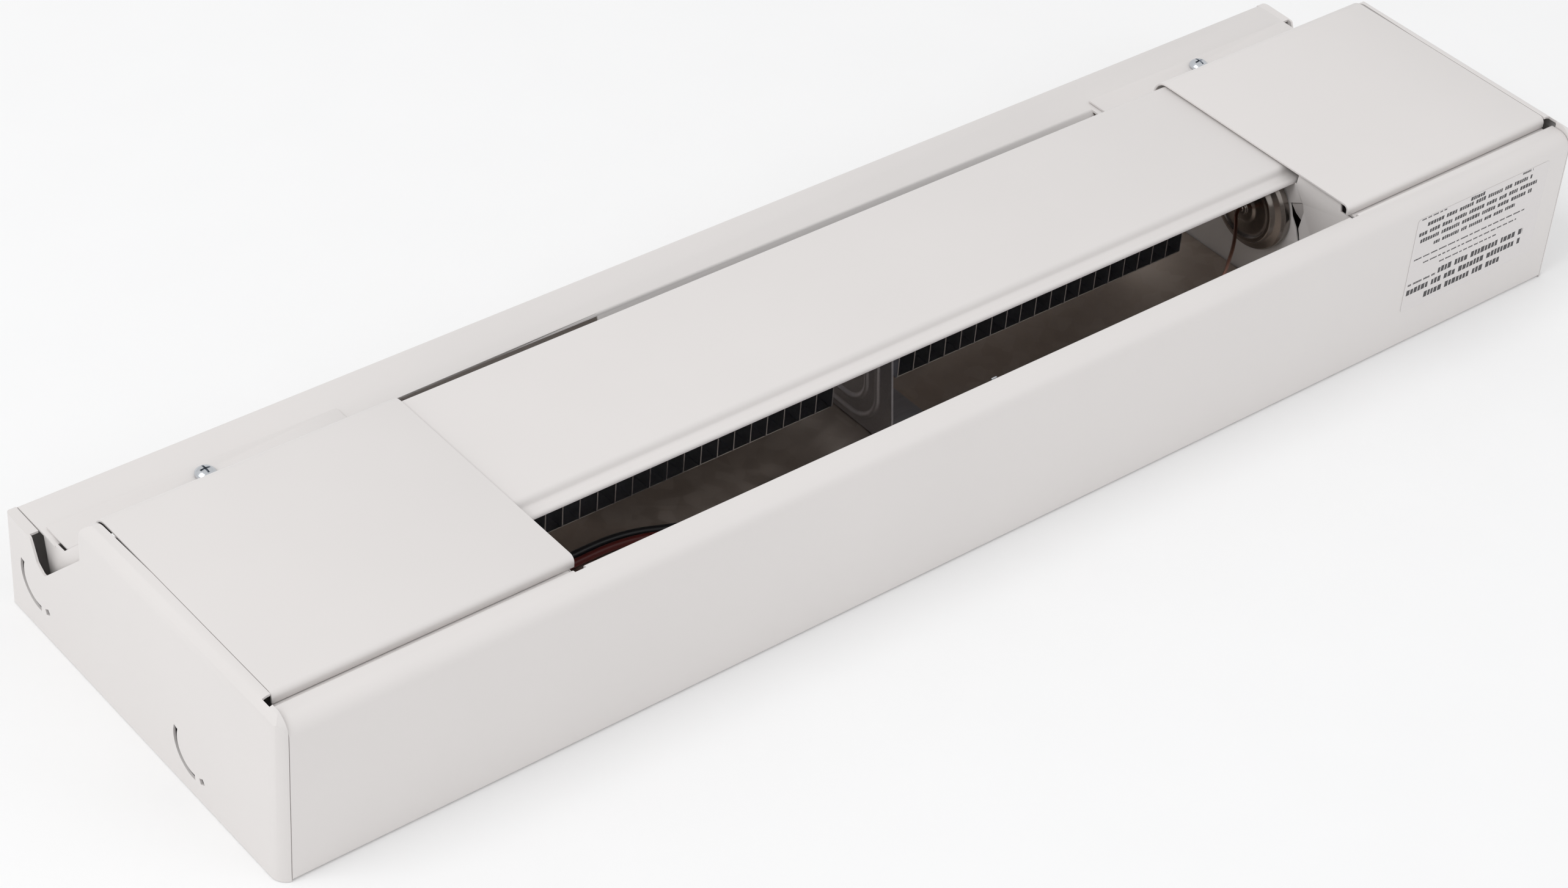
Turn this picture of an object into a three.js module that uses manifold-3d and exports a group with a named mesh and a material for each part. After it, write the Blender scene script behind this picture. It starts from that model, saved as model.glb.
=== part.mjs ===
// An electric baseboard heater, 24 in long, lying on its wall side.
// It is drawn in shop coordinates in millimetres: X along the length from the left end,
// Y from the outlet edge (0) to the floor edge, Z from the wall (0) to the room.
// The group at the end moves the middle of its back to the origin.
import * as THREE from "three";
import { mergeVertices } from "three/addons/utils/BufferGeometryUtils.js";
import Module from "manifold-3d";

const wasm = await Module();
wasm.setup();

// ---- driving dimensions --------------------------------------------------------------
const LENGTH = 610;
const HEIGHT = 172.8;
const DEPTH = 71;
const SHEET = 0.9;
const GAP = 0.3;
const INSET = 0.2;

const CASING_END = 4.6;
const LIP_EDGE = 11;
const LIP_FRONT = 68.3;
const LIP_BACK = 66.2;
const LEDGES = [[7, 121.8], [493.9, 603]];
const LEDGE_EDGE = 14.3;
const STRIP_FRONT = 40.2;
const STRIP_EDGE = 151;
const STRIP_LIP_DEPTH = 5.2;
const STRIP_LIP_REACH = 4.5;
const STRIP_LIP_START = 236.5;
const STRIP_LIP_END = 489;
const FOOT_PLATE_EDGE = 146.5;
const LEFT_FOOT_PLATE_END = 134;
const STRIP_NOTCH_EDGE = 149.2;

const COVER_START = 6.6;
const LEFT_COVER_LENGTH = 117.7;
const RIGHT_COVER_LENGTH = 112.1;
const COVER_TOP_EDGE = 13.2;
const COVER_HOOK = 4.4;
const COVER_LOW_EDGE = 121.2;
const COVER_FLANGE_EDGE = 155.5;
const COVER_FLANGE_FRONT = 41.4;
const COVER_KNEE = 61;
const COVER_SLOPE_END = 141.2;

const PANEL_FRONT = 69.5;
const PANEL_LIP_FRONT = 66.4;
const PANEL_LIP_DEPTH = 1.6;
const PANEL_LIP_EDGE = 42.3;
const PANEL_STEP = 48.8;
const PANEL_LOW_EDGE = 117;

const LEFT_PARTITION_X = 122.3;
const RIGHT_PARTITION_X = 492.6;
const BRACKET_X = 300.3;
const REFLECTOR_FRONT = 12;

const ELEMENT_Y = 92.9;
const ELEMENT_Z = 45;
const SHEATH_RADIUS = 4;
const SHEATH_START = 100;
const FIN_WIDTH = 45.2;
const FIN_DEPTH = 38;
const FIN_SHEET = 0.5;
const FIN_PITCH = 7.7;
const FIN_FLANGE = 7.2;
const FINS_PER_PACK = 20;
const LEFT_FINS_START = 139.2;
const RIGHT_FINS_START = 317.4;

const SCREW_Y = 149.3;
const LEFT_SCREW_X = 66;
const RIGHT_SCREW_X = 548;

const LIMIT_Y = 59.7;
const LIMIT_Z = 46.1;
const WIRE_RADIUS = 1.6;
const CAPILLARY_RADIUS = 0.75;
const CAPILLARY_Y = 8;
const CAPILLARY_Z = 62.5;
const KNOCKOUT_RADIUS = 10.8;
const HALF_SLIT = 1.1;
const ROUND_KNOCKOUT = [[8, 172], [188, 352]];
const END_KNOCKOUT = [[-126, -112], [-95, 20]];
const LEFT_WIRE_HOLE_Y = 67;
const RIGHT_WIRE_HOLE_Y = 126;
const WIRE_HOLE_Z = 19.8;
const WIRE_HOLE_RADIUS = 6;
const BUSHING_HOLE = 7.5;

// ---- materials ------------------------------------------------------------------------
const paint = new THREE.MeshStandardMaterial({ color: "#dedad8", roughness: 0.45 });
const galvanised = new THREE.MeshStandardMaterial({ color: "#9a9896", roughness: 0.4, metalness: 1 });
const zinc = new THREE.MeshStandardMaterial({ color: "#c9ccd0", roughness: 0.25, metalness: 1 });
const aluminium = new THREE.MeshStandardMaterial({ color: "#b9babc", roughness: 0.35, metalness: 1 });
const darkSteel = new THREE.MeshStandardMaterial({ color: "#4b443f", roughness: 0.35, metalness: 1 });
const copper = new THREE.MeshStandardMaterial({ color: "#8a5a3c", roughness: 0.35, metalness: 1 });
const phenolic = new THREE.MeshStandardMaterial({ color: "#2b2522", roughness: 0.6 });
const silicone = new THREE.MeshStandardMaterial({ color: "#d8d4cc", roughness: 0.7 });
const blackNylon = new THREE.MeshStandardMaterial({ color: "#1d1d1e", roughness: 0.55 });
const redWire = new THREE.MeshStandardMaterial({ color: "#a5342d", roughness: 0.5 });
const blackWire = new THREE.MeshStandardMaterial({ color: "#202022", roughness: 0.5 });
const whiteWire = new THREE.MeshStandardMaterial({ color: "#d9d4c8", roughness: 0.6 });
const greyNylon = new THREE.MeshStandardMaterial({ color: "#8f9398", roughness: 0.5 });
const greenZinc = new THREE.MeshStandardMaterial({ color: "#3f7a45", roughness: 0.35, metalness: 1 });
const labelFilm = new THREE.MeshStandardMaterial({ color: "#dcd9d8", roughness: 0.35 });

// ---- from three.js geometry to solids and back ---------------------------------------
function solid(geometry) {
  const bare = geometry.index ? geometry.toNonIndexed() : geometry.clone();
  bare.deleteAttribute("normal");
  bare.deleteAttribute("uv");
  const merged = mergeVertices(bare, 1e-4);
  return new wasm.Manifold(
    new wasm.Mesh({
      numProp: 3,
      vertProperties: merged.attributes.position.array,
      triVerts: new Uint32Array(merged.index.array),
    }),
  );
}

function geometryOf(body) {
  const { vertProperties, triVerts } = body.getMesh();
  const geometry = new THREE.BufferGeometry();
  geometry.setAttribute("position", new THREE.BufferAttribute(new Float32Array(vertProperties), 3));
  geometry.setIndex(new THREE.BufferAttribute(new Uint32Array(triVerts), 1));
  geometry.computeVertexNormals();
  return geometry;
}

const join = (bodies) => bodies.reduce((all, body) => all.add(body));
const cut = (body, tools) => tools.reduce((rest, tool) => rest.subtract(tool), body);

// ---- outlines -------------------------------------------------------------------------
const ARC_STEPS = 4; // straight pieces in a quarter turn

// The points of a path of [a, b, radius] corners, with each corner rounded to its radius.
function rounded(corners) {
  const points = [];
  corners.forEach(([a, b, radius = 0], i) => {
    const corner = new THREE.Vector2(a, b);
    if (!radius || i === 0 || i === corners.length - 1) {
      points.push(corner);
      return;
    }
    const back = new THREE.Vector2(...corners[i - 1].slice(0, 2)).sub(corner).normalize();
    const on = new THREE.Vector2(...corners[i + 1].slice(0, 2)).sub(corner).normalize();
    const half = Math.acos(THREE.MathUtils.clamp(back.dot(on), -1, 1)) / 2;
    const centre = back.clone().add(on).normalize().multiplyScalar(radius / Math.sin(half)).add(corner);
    const start = back.multiplyScalar(radius / Math.tan(half)).add(corner).sub(centre);
    const end = on.multiplyScalar(radius / Math.tan(half)).add(corner).sub(centre);
    const turn = Math.atan2(start.cross(end), start.dot(end));
    const steps = Math.max(1, Math.round((Math.abs(turn) / (Math.PI / 2)) * ARC_STEPS));
    for (let k = 0; k <= steps; k++) {
      points.push(start.clone().rotateAround(new THREE.Vector2(), (turn * k) / steps).add(centre));
    }
  });
  return points;
}

// The points moved to their left by a distance, with mitred corners.
function offset(points, distance, closed) {
  const count = points.length;
  const normal = (from, to) => new THREE.Vector2(from.y - to.y, to.x - from.x).normalize();
  return points.map((point, i) => {
    const before = closed || i > 0 ? points[(i + count - 1) % count] : null;
    const after = closed || i < count - 1 ? points[(i + 1) % count] : null;
    const first = before ? normal(before, point) : normal(point, after);
    const second = after ? normal(point, after) : first;
    const mitre = first.clone().add(second).normalize();
    return mitre.multiplyScalar(distance / mitre.dot(first)).add(point);
  });
}

// The outline of a bent sheet whose outer face follows the path, with its metal on the left.
function bentSheet(corners, thickness = SHEET) {
  const outer = rounded(corners);
  return [...outer, ...offset(outer, thickness, false).reverse()];
}

function circle(a, b, radius, sides) {
  const points = [];
  for (let k = 0; k < sides; k++) {
    const angle = (2 * Math.PI * k) / sides;
    points.push(new THREE.Vector2(a + radius * Math.cos(angle), b + radius * Math.sin(angle)));
  }
  return points;
}

const rectangle = (a0, a1, b0, b1) => rounded([[a0, b0], [a1, b0], [a1, b1], [a0, b1]]);

// ---- solids ---------------------------------------------------------------------------
const ALONG = {
  x: new THREE.Matrix4().makeBasis(
    new THREE.Vector3(0, 1, 0), new THREE.Vector3(0, 0, 1), new THREE.Vector3(1, 0, 0)),
  y: new THREE.Matrix4().makeBasis(
    new THREE.Vector3(1, 0, 0), new THREE.Vector3(0, 0, 1), new THREE.Vector3(0, -1, 0)),
  z: new THREE.Matrix4(),
};

// An outline pushed along an axis. It is drawn in (y, z), (x, z) or (x, y) for axis x, y or z.
function prism(axis, outline, from, to) {
  const low = Math.min(from, to);
  const high = Math.max(from, to);
  const geometry = new THREE.ExtrudeGeometry(new THREE.Shape(outline), {
    depth: high - low,
    bevelEnabled: false,
  });
  geometry.applyMatrix4(ALONG[axis]);
  const start = { x: [low, 0, 0], y: [0, high, 0], z: [0, 0, low] }[axis];
  return solid(geometry.translate(...start));
}

const box = (x0, x1, y0, y1, z0, z1) =>
  prism("z", rectangle(Math.min(x0, x1), Math.max(x0, x1), y0, y1), z0, z1);

const rod = (axis, a, b, radius, from, to, sides = 16) =>
  prism(axis, circle(a, b, radius, sides), from, to);

// A turned body about an axis through (a, b), from a closed profile of [radius, place] points.
function turned(axis, a, b, profile, sides = 20) {
  const points = profile.map(([radius, place]) => new THREE.Vector2(radius, place));
  if (THREE.ShapeUtils.area(points) < 0) {
    points.reverse();
  }
  const geometry = new THREE.LatheGeometry(points, sides);
  if (axis === "x") {
    geometry.rotateZ(-Math.PI / 2).translate(0, a, b);
  } else {
    geometry.rotateX(Math.PI / 2).translate(a, b, 0);
  }
  return solid(geometry);
}

// A round wire along a smooth curve through its points.
function wire(points, radius, steps, sides = 8) {
  const path = new THREE.CatmullRomCurve3(points.map((p) => new THREE.Vector3(...p)), false, "centripetal");
  const section = new THREE.Shape(circle(0, 0, radius, sides));
  return solid(new THREE.ExtrudeGeometry(section, { steps, extrudePath: path, bevelEnabled: false }));
}

// The arc-shaped slits round a knockout, as [start, end] angles in degrees, with bridges between.
function knockout(axis, a, b, from, to, arcs) {
  const stepDegrees = 18;
  return arcs.map(([start, end]) => {
    const steps = Math.ceil((end - start) / stepDegrees);
    const rim = (radius) => Array.from({ length: steps + 1 }, (_, k) => {
      const angle = THREE.MathUtils.degToRad(start + ((end - start) * k) / steps);
      return new THREE.Vector2(a + radius * Math.cos(angle), b + radius * Math.sin(angle));
    });
    const outline = [...rim(KNOCKOUT_RADIUS + HALF_SLIT), ...rim(KNOCKOUT_RADIUS - HALF_SLIT).reverse()];
    return prism(axis, outline, from, to);
  });
}

// ---- casing ---------------------------------------------------------------------------
const FLOOR_FACE = HEIGHT - INSET;
const OUT = 1; // how far a cutting tool passes a face

function backCasing() {
  const profile = bentSheet([
    [6.5, LIP_BACK],
    [LIP_EDGE, LIP_BACK, 1],
    [LIP_EDGE, LIP_FRONT, 1],
    [INSET, LIP_FRONT, 6],
    [INSET, 0, 1.5],
    [FLOOR_FACE, 0, 1.5],
    [FLOOR_FACE, STRIP_FRONT, 2],
    [STRIP_EDGE, STRIP_FRONT, 1.2],
    [STRIP_EDGE - STRIP_LIP_REACH, STRIP_FRONT - STRIP_LIP_DEPTH],
  ]);
  const stripBack = STRIP_FRONT - SHEET;
  // The strip has its sloping lip only along the middle, and reaches under both covers' feet.
  const lipEnds = [[0, STRIP_LIP_START], [STRIP_LIP_END, LENGTH]].map(([x0, x1]) =>
    box(x0, x1, 140, STRIP_EDGE + 2, STRIP_FRONT - STRIP_LIP_DEPTH - 2, stripBack));
  const footPlates = [[CASING_END, LEFT_FOOT_PLATE_END], [STRIP_LIP_END, LENGTH - CASING_END]].map(
    ([x0, x1]) => box(x0, x1, FOOT_PLATE_EDGE, STRIP_EDGE + 2, stripBack, STRIP_FRONT));
  // Between the left cover and the lip the strip's plain edge runs out slowly to the full width.
  const notchEdge = prism("z", rounded([
    [LEFT_FOOT_PLATE_END, STRIP_NOTCH_EDGE], [STRIP_LIP_START, STRIP_EDGE],
    [STRIP_LIP_START, STRIP_EDGE + 2], [LEFT_FOOT_PLATE_END, STRIP_EDGE + 2],
  ]), stripBack, STRIP_FRONT);
  // A ledge under the groove between each cover and the lip.
  const ledges = LEDGES.map(([x0, x1]) => box(x0, x1, 7, LEDGE_EDGE, LIP_BACK - SHEET, LIP_BACK));
  const endTab = rounded([[116, 20], [151, 22], [154.6, 40], [141.6, 40.6], [121.4, 60.4], [116, 60.4]]);
  const tabSetback = 0.2;
  const tabs = [CASING_END + tabSetback, LENGTH - CASING_END - tabSetback - SHEET].map((x) =>
    prism("x", endTab, x, x + SHEET));
  const back = cut(prism("x", profile, CASING_END, LENGTH - CASING_END), lipEnds);
  const sheet = join([back, ...footPlates, notchEdge, ...ledges, ...tabs]);

  const screwNotches = [LEFT_SCREW_X, RIGHT_SCREW_X].map((x) =>
    box(x - 2.6, x + 2.6, FOOT_PLATE_EDGE - OUT, SCREW_Y + 2.4, STRIP_FRONT - 2, STRIP_FRONT + OUT));
  const lipReliefs = [[121.8, 126.4], [489.4, 493.6]].map(([x0, x1]) =>
    box(x0, x1, LIP_EDGE - 1.6, LIP_EDGE + OUT, LIP_BACK - OUT, LIP_FRONT + OUT));
  const wallHoles = [90, 305, 520].flatMap((x) =>
    [45, 156].map((y) => rod("z", x, y, 3, -OUT, SHEET + OUT, 12)));
  const groundHoles = [95, 515].map((x) => rod("z", x, 40, 2.3, -OUT, SHEET + OUT, 12));
  const rearKnockouts = [45, 565].flatMap((x) =>
    knockout("z", x, 80, -OUT, SHEET + OUT, ROUND_KNOCKOUT));
  const floorKnockouts = [45, 565].flatMap((x) =>
    knockout("y", x, 20, FLOOR_FACE - 2, FLOOR_FACE + OUT, ROUND_KNOCKOUT));
  return cut(sheet, [
    ...screwNotches,
    ...lipReliefs,
    ...wallHoles,
    ...groundHoles,
    ...rearKnockouts,
    ...floorKnockouts,
  ]);
}

// The end plate's outline seen from the end, counter-clockwise.
const END_OUTLINE = [
  [0, 0], [HEIGHT, 0], [HEIGHT, 39.9], [155.4, 39.6], [151.6, 31], [147, 28], [121, 53.5],
];

function endPlate(at) {
  const edgeRadius = 6;
  const sideReach = CASING_END - GAP;
  const frontReach = COVER_START - GAP;
  const outline = rounded([...END_OUTLINE, [121, DEPTH, 8], [0, DEPTH, 8], [0, 0]]).slice(0, -1);
  // A block with the outline's section and rounded outer edges, drawn in by a distance.
  const block = (inwards) => {
    const depth = frontReach + OUT;
    const r = edgeRadius - inwards;
    const plan = rounded([
      [depth, inwards],
      [inwards, inwards, r],
      [inwards, HEIGHT - inwards, r / 2],
      [depth, HEIGHT - inwards],
    ]).map((p) => new THREE.Vector2(at(p.x), p.y));
    const side = rounded([
      [depth, inwards],
      [inwards, inwards],
      [inwards, DEPTH - inwards, r],
      [depth, DEPTH - inwards],
    ]).map((p) => new THREE.Vector2(at(p.x), p.y));
    return prism("x", offset(outline, inwards, true), at(inwards), at(depth))
      .intersect(prism("z", plan, -OUT, DEPTH + OUT))
      .intersect(prism("y", side, -OUT, HEIGHT + OUT));
  };
  // A web closes the step between the plate and the lower lip of the casing.
  const web = block(0).intersect(
    box(at(sideReach - SHEET), at(sideReach), -OUT, COVER_TOP_EDGE - 0.2, 55, DEPTH + OUT));
  // The seam with the cover opens a little towards its floor-side end.
  const seam = prism("z", rounded([
    [at(frontReach), 84], [at(frontReach - 0.9), COVER_LOW_EDGE], [at(20), COVER_LOW_EDGE], [at(20), 84],
  ]), COVER_KNEE - OUT, DEPTH + OUT);
  const hollow = cut(block(0), [block(SHEET)]);
  const shell = cut(hollow.add(web), [
    seam,
    box(at(sideReach), at(20), -OUT, COVER_TOP_EDGE - 0.2, -OUT, DEPTH + OUT),
    box(at(sideReach), at(20), COVER_LOW_EDGE - 1.6, HEIGHT + OUT, -OUT, DEPTH + OUT),
    box(at(sideReach), at(20), -OUT, HEIGHT + OUT, -OUT, COVER_KNEE),
    box(at(frontReach), at(20), -OUT, HEIGHT + OUT, -OUT, DEPTH + OUT),
    box(at(SHEET), at(20), 146, 157, 25, 45),
    box(at(3.2), at(20), 9.2, COVER_TOP_EDGE + 0.4, DEPTH - 4, DEPTH + OUT),
  ]);
  const tongueInset = 1.6;
  const tongue = cut(prism("x", offset(outline, tongueInset, true), at(0.5), at(13)), [
    prism("x", offset(outline, tongueInset + SHEET, true), at(0.4), at(14)),
    box(at(-OUT), at(20), 108, HEIGHT, -OUT, DEPTH),
    box(at(-OUT), at(20), 0, 22, 58, DEPTH),
    box(at(-OUT), at(20), 5, 108, -OUT, 6),
  ]);
  return cut(shell.add(tongue), [
    ...knockout("x", 151.6, 21.8, at(-OUT), at(SHEET + OUT), END_KNOCKOUT),
    ...knockout("x", 52.5, 19.2, at(-OUT), at(SHEET + OUT), END_KNOCKOUT),
  ]);
}

// ---- covers, front panel and what stands inside ---------------------------------------
function junctionCover(x0, x1, screwX) {
  const profile = bentSheet([
    [COVER_FLANGE_EDGE, COVER_FLANGE_FRONT],
    [COVER_SLOPE_END, COVER_FLANGE_FRONT, 2],
    [COVER_LOW_EDGE, COVER_KNEE, 3],
    [COVER_LOW_EDGE, DEPTH, 6.5],
    [COVER_TOP_EDGE, DEPTH, 2.5],
    [COVER_TOP_EDGE, DEPTH - COVER_HOOK],
  ]);
  const hole = rod("z", screwX, SCREW_Y, 2.4, STRIP_FRONT, DEPTH, 16);
  return prism("x", profile, x0, x1).subtract(hole);
}

function coverScrew(x) {
  const seat = COVER_FLANGE_FRONT + INSET;
  const body = turned("z", x, SCREW_Y, [
    [0, 35], [1.6, 35.6], [1.9, 36.4], [1.9, seat], [4, seat], [4, seat + 1],
    [3.5, seat + 1.9], [2.4, seat + 2.5], [0, seat + 2.8],
  ], 24);
  const arms = [[2.2, 0.5], [0.5, 2.2]].map(([a, b]) =>
    box(x - a, x + a, SCREW_Y - b, SCREW_Y + b, seat + 1.2, seat + 4));
  return cut(body, arms);
}

function frontPanel() {
  const profile = bentSheet([
    [PANEL_LOW_EDGE, 62],
    [PANEL_LOW_EDGE, PANEL_FRONT, 1.8],
    [PANEL_STEP, PANEL_FRONT, 2],
    [PANEL_STEP - 1.6, PANEL_LIP_FRONT, 1.5],
    [PANEL_LIP_EDGE, PANEL_LIP_FRONT, 1.5],
    [PANEL_LIP_EDGE, PANEL_LIP_FRONT - PANEL_LIP_DEPTH],
  ]);
  return prism("x", profile, 113, 501);
}

// Where the through wires pass the reflector, as [x0, x1, y0, y1].
const WIRE_SLOTS = [[209, 232, 47.4, 60.6], [459, 482, 112.5, 127.5]];

function rearReflector() {
  const under = REFLECTOR_FRONT - SHEET;
  const profile = bentSheet([
    [20, 1.3], [30, 1.3, 1], [36, under, 2], [134, under, 2], [139, 1.3, 1], [148, 1.3],
  ]);
  const sheet = prism("x", profile, LEFT_PARTITION_X + SHEET + 0.6, RIGHT_PARTITION_X - 0.6);
  return cut(sheet, WIRE_SLOTS.map(([x0, x1, y0, y1]) =>
    prism("z", rounded([
      [x0 + 5, y0], [x1, y0, 4], [x1, y1, 4], [x0, y1, 4], [x0, y0, 4], [x0 + 5, y0],
    ]).slice(0, -1), under - OUT, REFLECTOR_FRONT + OUT)));
}

function partition(x, footEnd, wireHoleY, extraCuts) {
  const outline = rounded([
    [1.7, 1.3], [171.2, 1.3], [171.2, 38.9], [139, 38.9], [119.6, 57], [115.2, 61.5], [115.2, 68.2],
    [50, 68.2], [49, 64.7], [41.6, 64.7], [41, 69.2], [18.4, 69.2], [17.6, 65.4], [6, 65.4], [1.7, 60.5],
  ]);
  const wall = prism("x", outline, x, x + SHEET);
  const foot = box(x + SHEET / 2, footEnd, 24, 145, 1.3, 1.3 + SHEET);
  return cut(wall.add(foot), [
    rod("x", ELEMENT_Y, ELEMENT_Z, BUSHING_HOLE, x - OUT, x + SHEET + OUT, 20),
    rod("x", wireHoleY, WIRE_HOLE_Z, WIRE_HOLE_RADIUS, x - OUT, x + SHEET + OUT, 16),
    ...extraCuts,
  ]);
}

function rightPartition() {
  const x = RIGHT_PARTITION_X;
  const lance = rounded([
    [43, 55.2], [36.6, 58.6], [35.4, 54.8], [36.6, 46.6], [34.8, 41], [36, 40.6], [38, 45.6], [41, 49.6],
  ]);
  return partition(x, x + 10, RIGHT_WIRE_HOLE_Y, [
    rod("x", LIMIT_Y, LIMIT_Z, 14, x - OUT, x + SHEET + OUT, 24),
    prism("x", lance, x - OUT, x + SHEET + OUT),
  ]);
}

function centreBracket() {
  const outline = rounded([
    [51.5, 12.4], [121, 12.4], [118.5, 56], [113, 64.5], [64, 64.5], [57, 56],
  ]);
  const wall = prism("x", outline, BRACKET_X, BRACKET_X + SHEET);
  const foot = box(BRACKET_X + SHEET / 2, BRACKET_X + 24.2, 58, 116, 12.4, 12.4 + SHEET);
  // Two pressed beads follow the sides and the foot, one inside the other.
  const arch = (inset) => rounded([
    [63 + inset, 54], [59.3 + inset, 14.2 + inset, 14 - inset / 2],
    [114 - inset, 14.2 + inset, 14 - inset / 2], [112 - inset, 54],
  ]);
  const beads = [[0, 2.2], [6, 8]].map(([outer, inner]) =>
    prism("x", arch(outer), BRACKET_X - 0.8, BRACKET_X + 0.2).subtract(
      prism("x", arch(inner), BRACKET_X - OUT, BRACKET_X + 0.4)));
  const hole = rod("x", ELEMENT_Y, ELEMENT_Z, BUSHING_HOLE, BRACKET_X - OUT, BRACKET_X + 2, 20);
  return join([wall, foot, ...beads]).subtract(hole);
}

// A grooved sleeve that snaps into a hole in a sheet at x and lets a round thing through.
function bushing(x, y, z, bore, neck, flange, cheek) {
  return turned("x", y, z, [
    [bore, x - cheek], [flange, x - cheek], [flange, x - GAP], [neck, x - GAP],
    [neck, x + SHEET + GAP], [flange, x + SHEET + GAP], [flange, x + SHEET + cheek],
    [bore, x + SHEET + cheek], [bore, x - cheek],
  ], 14);
}

const elementBushing = (x) =>
  bushing(x, ELEMENT_Y, ELEMENT_Z, SHEATH_RADIUS + GAP, BUSHING_HOLE - GAP, BUSHING_HOLE + 1.8, 2.2);
const wireBushing = (x, y) =>
  bushing(x, y, WIRE_HOLE_Z, 4.2, WIRE_HOLE_RADIUS - GAP, WIRE_HOLE_RADIUS + 1.2, 1.8);

// ---- heating element ------------------------------------------------------------------
function finPack(start) {
  const sides = 10;
  const collarOuter = SHEATH_RADIUS + 1.3;
  const y0 = ELEMENT_Y - FIN_WIDTH / 2;
  const z0 = ELEMENT_Z - FIN_DEPTH / 2;
  const end = start + FIN_PITCH * (FINS_PER_PACK - 1) + FIN_SHEET;
  const bodies = [rod("x", ELEMENT_Y, ELEMENT_Z, collarOuter, start, end, sides)];
  for (let k = 0; k < FINS_PER_PACK; k++) {
    const x = start + k * FIN_PITCH;
    bodies.push(box(x, x + FIN_SHEET, y0, y0 + FIN_WIDTH, z0, z0 + FIN_DEPTH));
    if (k < FINS_PER_PACK - 1) {
      // Folded edges on the wall side and the room side reach almost to the next fin.
      for (const z of [z0, z0 + FIN_DEPTH - FIN_SHEET]) {
        bodies.push(box(x, x + FIN_FLANGE, y0, y0 + FIN_WIDTH, z, z + FIN_SHEET));
      }
    }
  }
  const bore = rod("x", ELEMENT_Y, ELEMENT_Z, SHEATH_RADIUS + 0.6, start - OUT, end + OUT, sides);
  return join(bodies).subtract(bore);
}

const elementSheath = () =>
  rod("x", ELEMENT_Y, ELEMENT_Z, SHEATH_RADIUS, SHEATH_START, LENGTH - SHEATH_START, 16);

const elementTerminal = (at) =>
  turned("x", ELEMENT_Y, ELEMENT_Z, [
    [0, at(SHEATH_START - GAP)], [3, at(SHEATH_START - GAP)], [3, at(97.5)],
    [1.6, at(97.5)], [1.6, at(86)], [0, at(86)],
  ], 16);

const terminalSleeve = (at) =>
  rod("x", ELEMENT_Y, ELEMENT_Z, 3.6, at(76), at(96), 16).subtract(
    rod("x", ELEMENT_Y, ELEMENT_Z, 2.3, at(75), at(97), 16));

// ---- limit control --------------------------------------------------------------------
function limitDiaphragm() {
  const x = RIGHT_PARTITION_X;
  return turned("x", LIMIT_Y, LIMIT_Z, [
    [0, x - 9.4], [3.2, x - 9.4], [3.2, x - 7.8], [6.5, x - 7.4], [12, x - 6.6], [13, x - 7.4],
    [14.5, x - 7.4], [15.5, x - 5.8], [18.2, x - 4.4], [19, x - 3.2], [19, x - 0.7],
    [13.4, x - 0.7], [13.4, x + 2], [0, x + 2],
  ], 20);
}

function limitSwitchBody() {
  const x = RIGHT_PARTITION_X + 2.3;
  const body = prism("x", rounded([
    [LIMIT_Y, LIMIT_Z - 16], [LIMIT_Y + 16, LIMIT_Z - 16, 3], [LIMIT_Y + 16, LIMIT_Z + 16, 3],
    [LIMIT_Y - 16, LIMIT_Z + 16, 3], [LIMIT_Y - 16, LIMIT_Z - 16, 3], [LIMIT_Y - 1, LIMIT_Z - 16],
  ]), x, x + 22);
  const blades = [-8, 8].map((dy) =>
    box(x + 21, x + 30, LIMIT_Y + dy - 3.1, LIMIT_Y + dy + 3.1, LIMIT_Z - 0.4, LIMIT_Z + 0.4));
  return join([body, ...blades]);
}

const capillary = () =>
  wire([
    [482.6, LIMIT_Y, LIMIT_Z], [478.6, 57, 46.4], [473.9, 52.4, 46.6], [468.1, 47.1, 47.6],
    [460.7, 40.7, 50], [452.3, 33.9, 53], [442, 26, 57], [432.9, 19.1, 60], [424, 13.6, 62],
    [416, 10.2, CAPILLARY_Z], [404, CAPILLARY_Y, CAPILLARY_Z],
    [380, CAPILLARY_Y, CAPILLARY_Z], [260, CAPILLARY_Y, CAPILLARY_Z], [136, CAPILLARY_Y, CAPILLARY_Z],
  ], CAPILLARY_RADIUS, 40);

const CLIP_WIDTH = 6;
const LIP_CLIP_WIDTH = 2.4;
const CLIP_SHEET = 0.5;
const CRADLE = CAPILLARY_Z - CAPILLARY_RADIUS - 0.35 - CLIP_SHEET;

// A narrow clip that stands against the edge of the casing's lip and holds the capillary under it.
function lipClip(x) {
  const face = LIP_EDGE + GAP + CLIP_SHEET;
  const profile = bentSheet([[5.4, CRADLE], [face, CRADLE, 0.8], [face, LIP_FRONT - 0.4]], CLIP_SHEET);
  return prism("x", profile, x, x + LIP_CLIP_WIDTH);
}

// A bracket clip that stands on the inside of the long face.
function wallClip(x) {
  const profile = bentSheet([[2, 52], [2, CRADLE, 0.8], [10, CRADLE, 0.8], [10, CRADLE + 3.2]], CLIP_SHEET);
  return prism("x", profile, x, x + CLIP_WIDTH);
}

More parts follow.
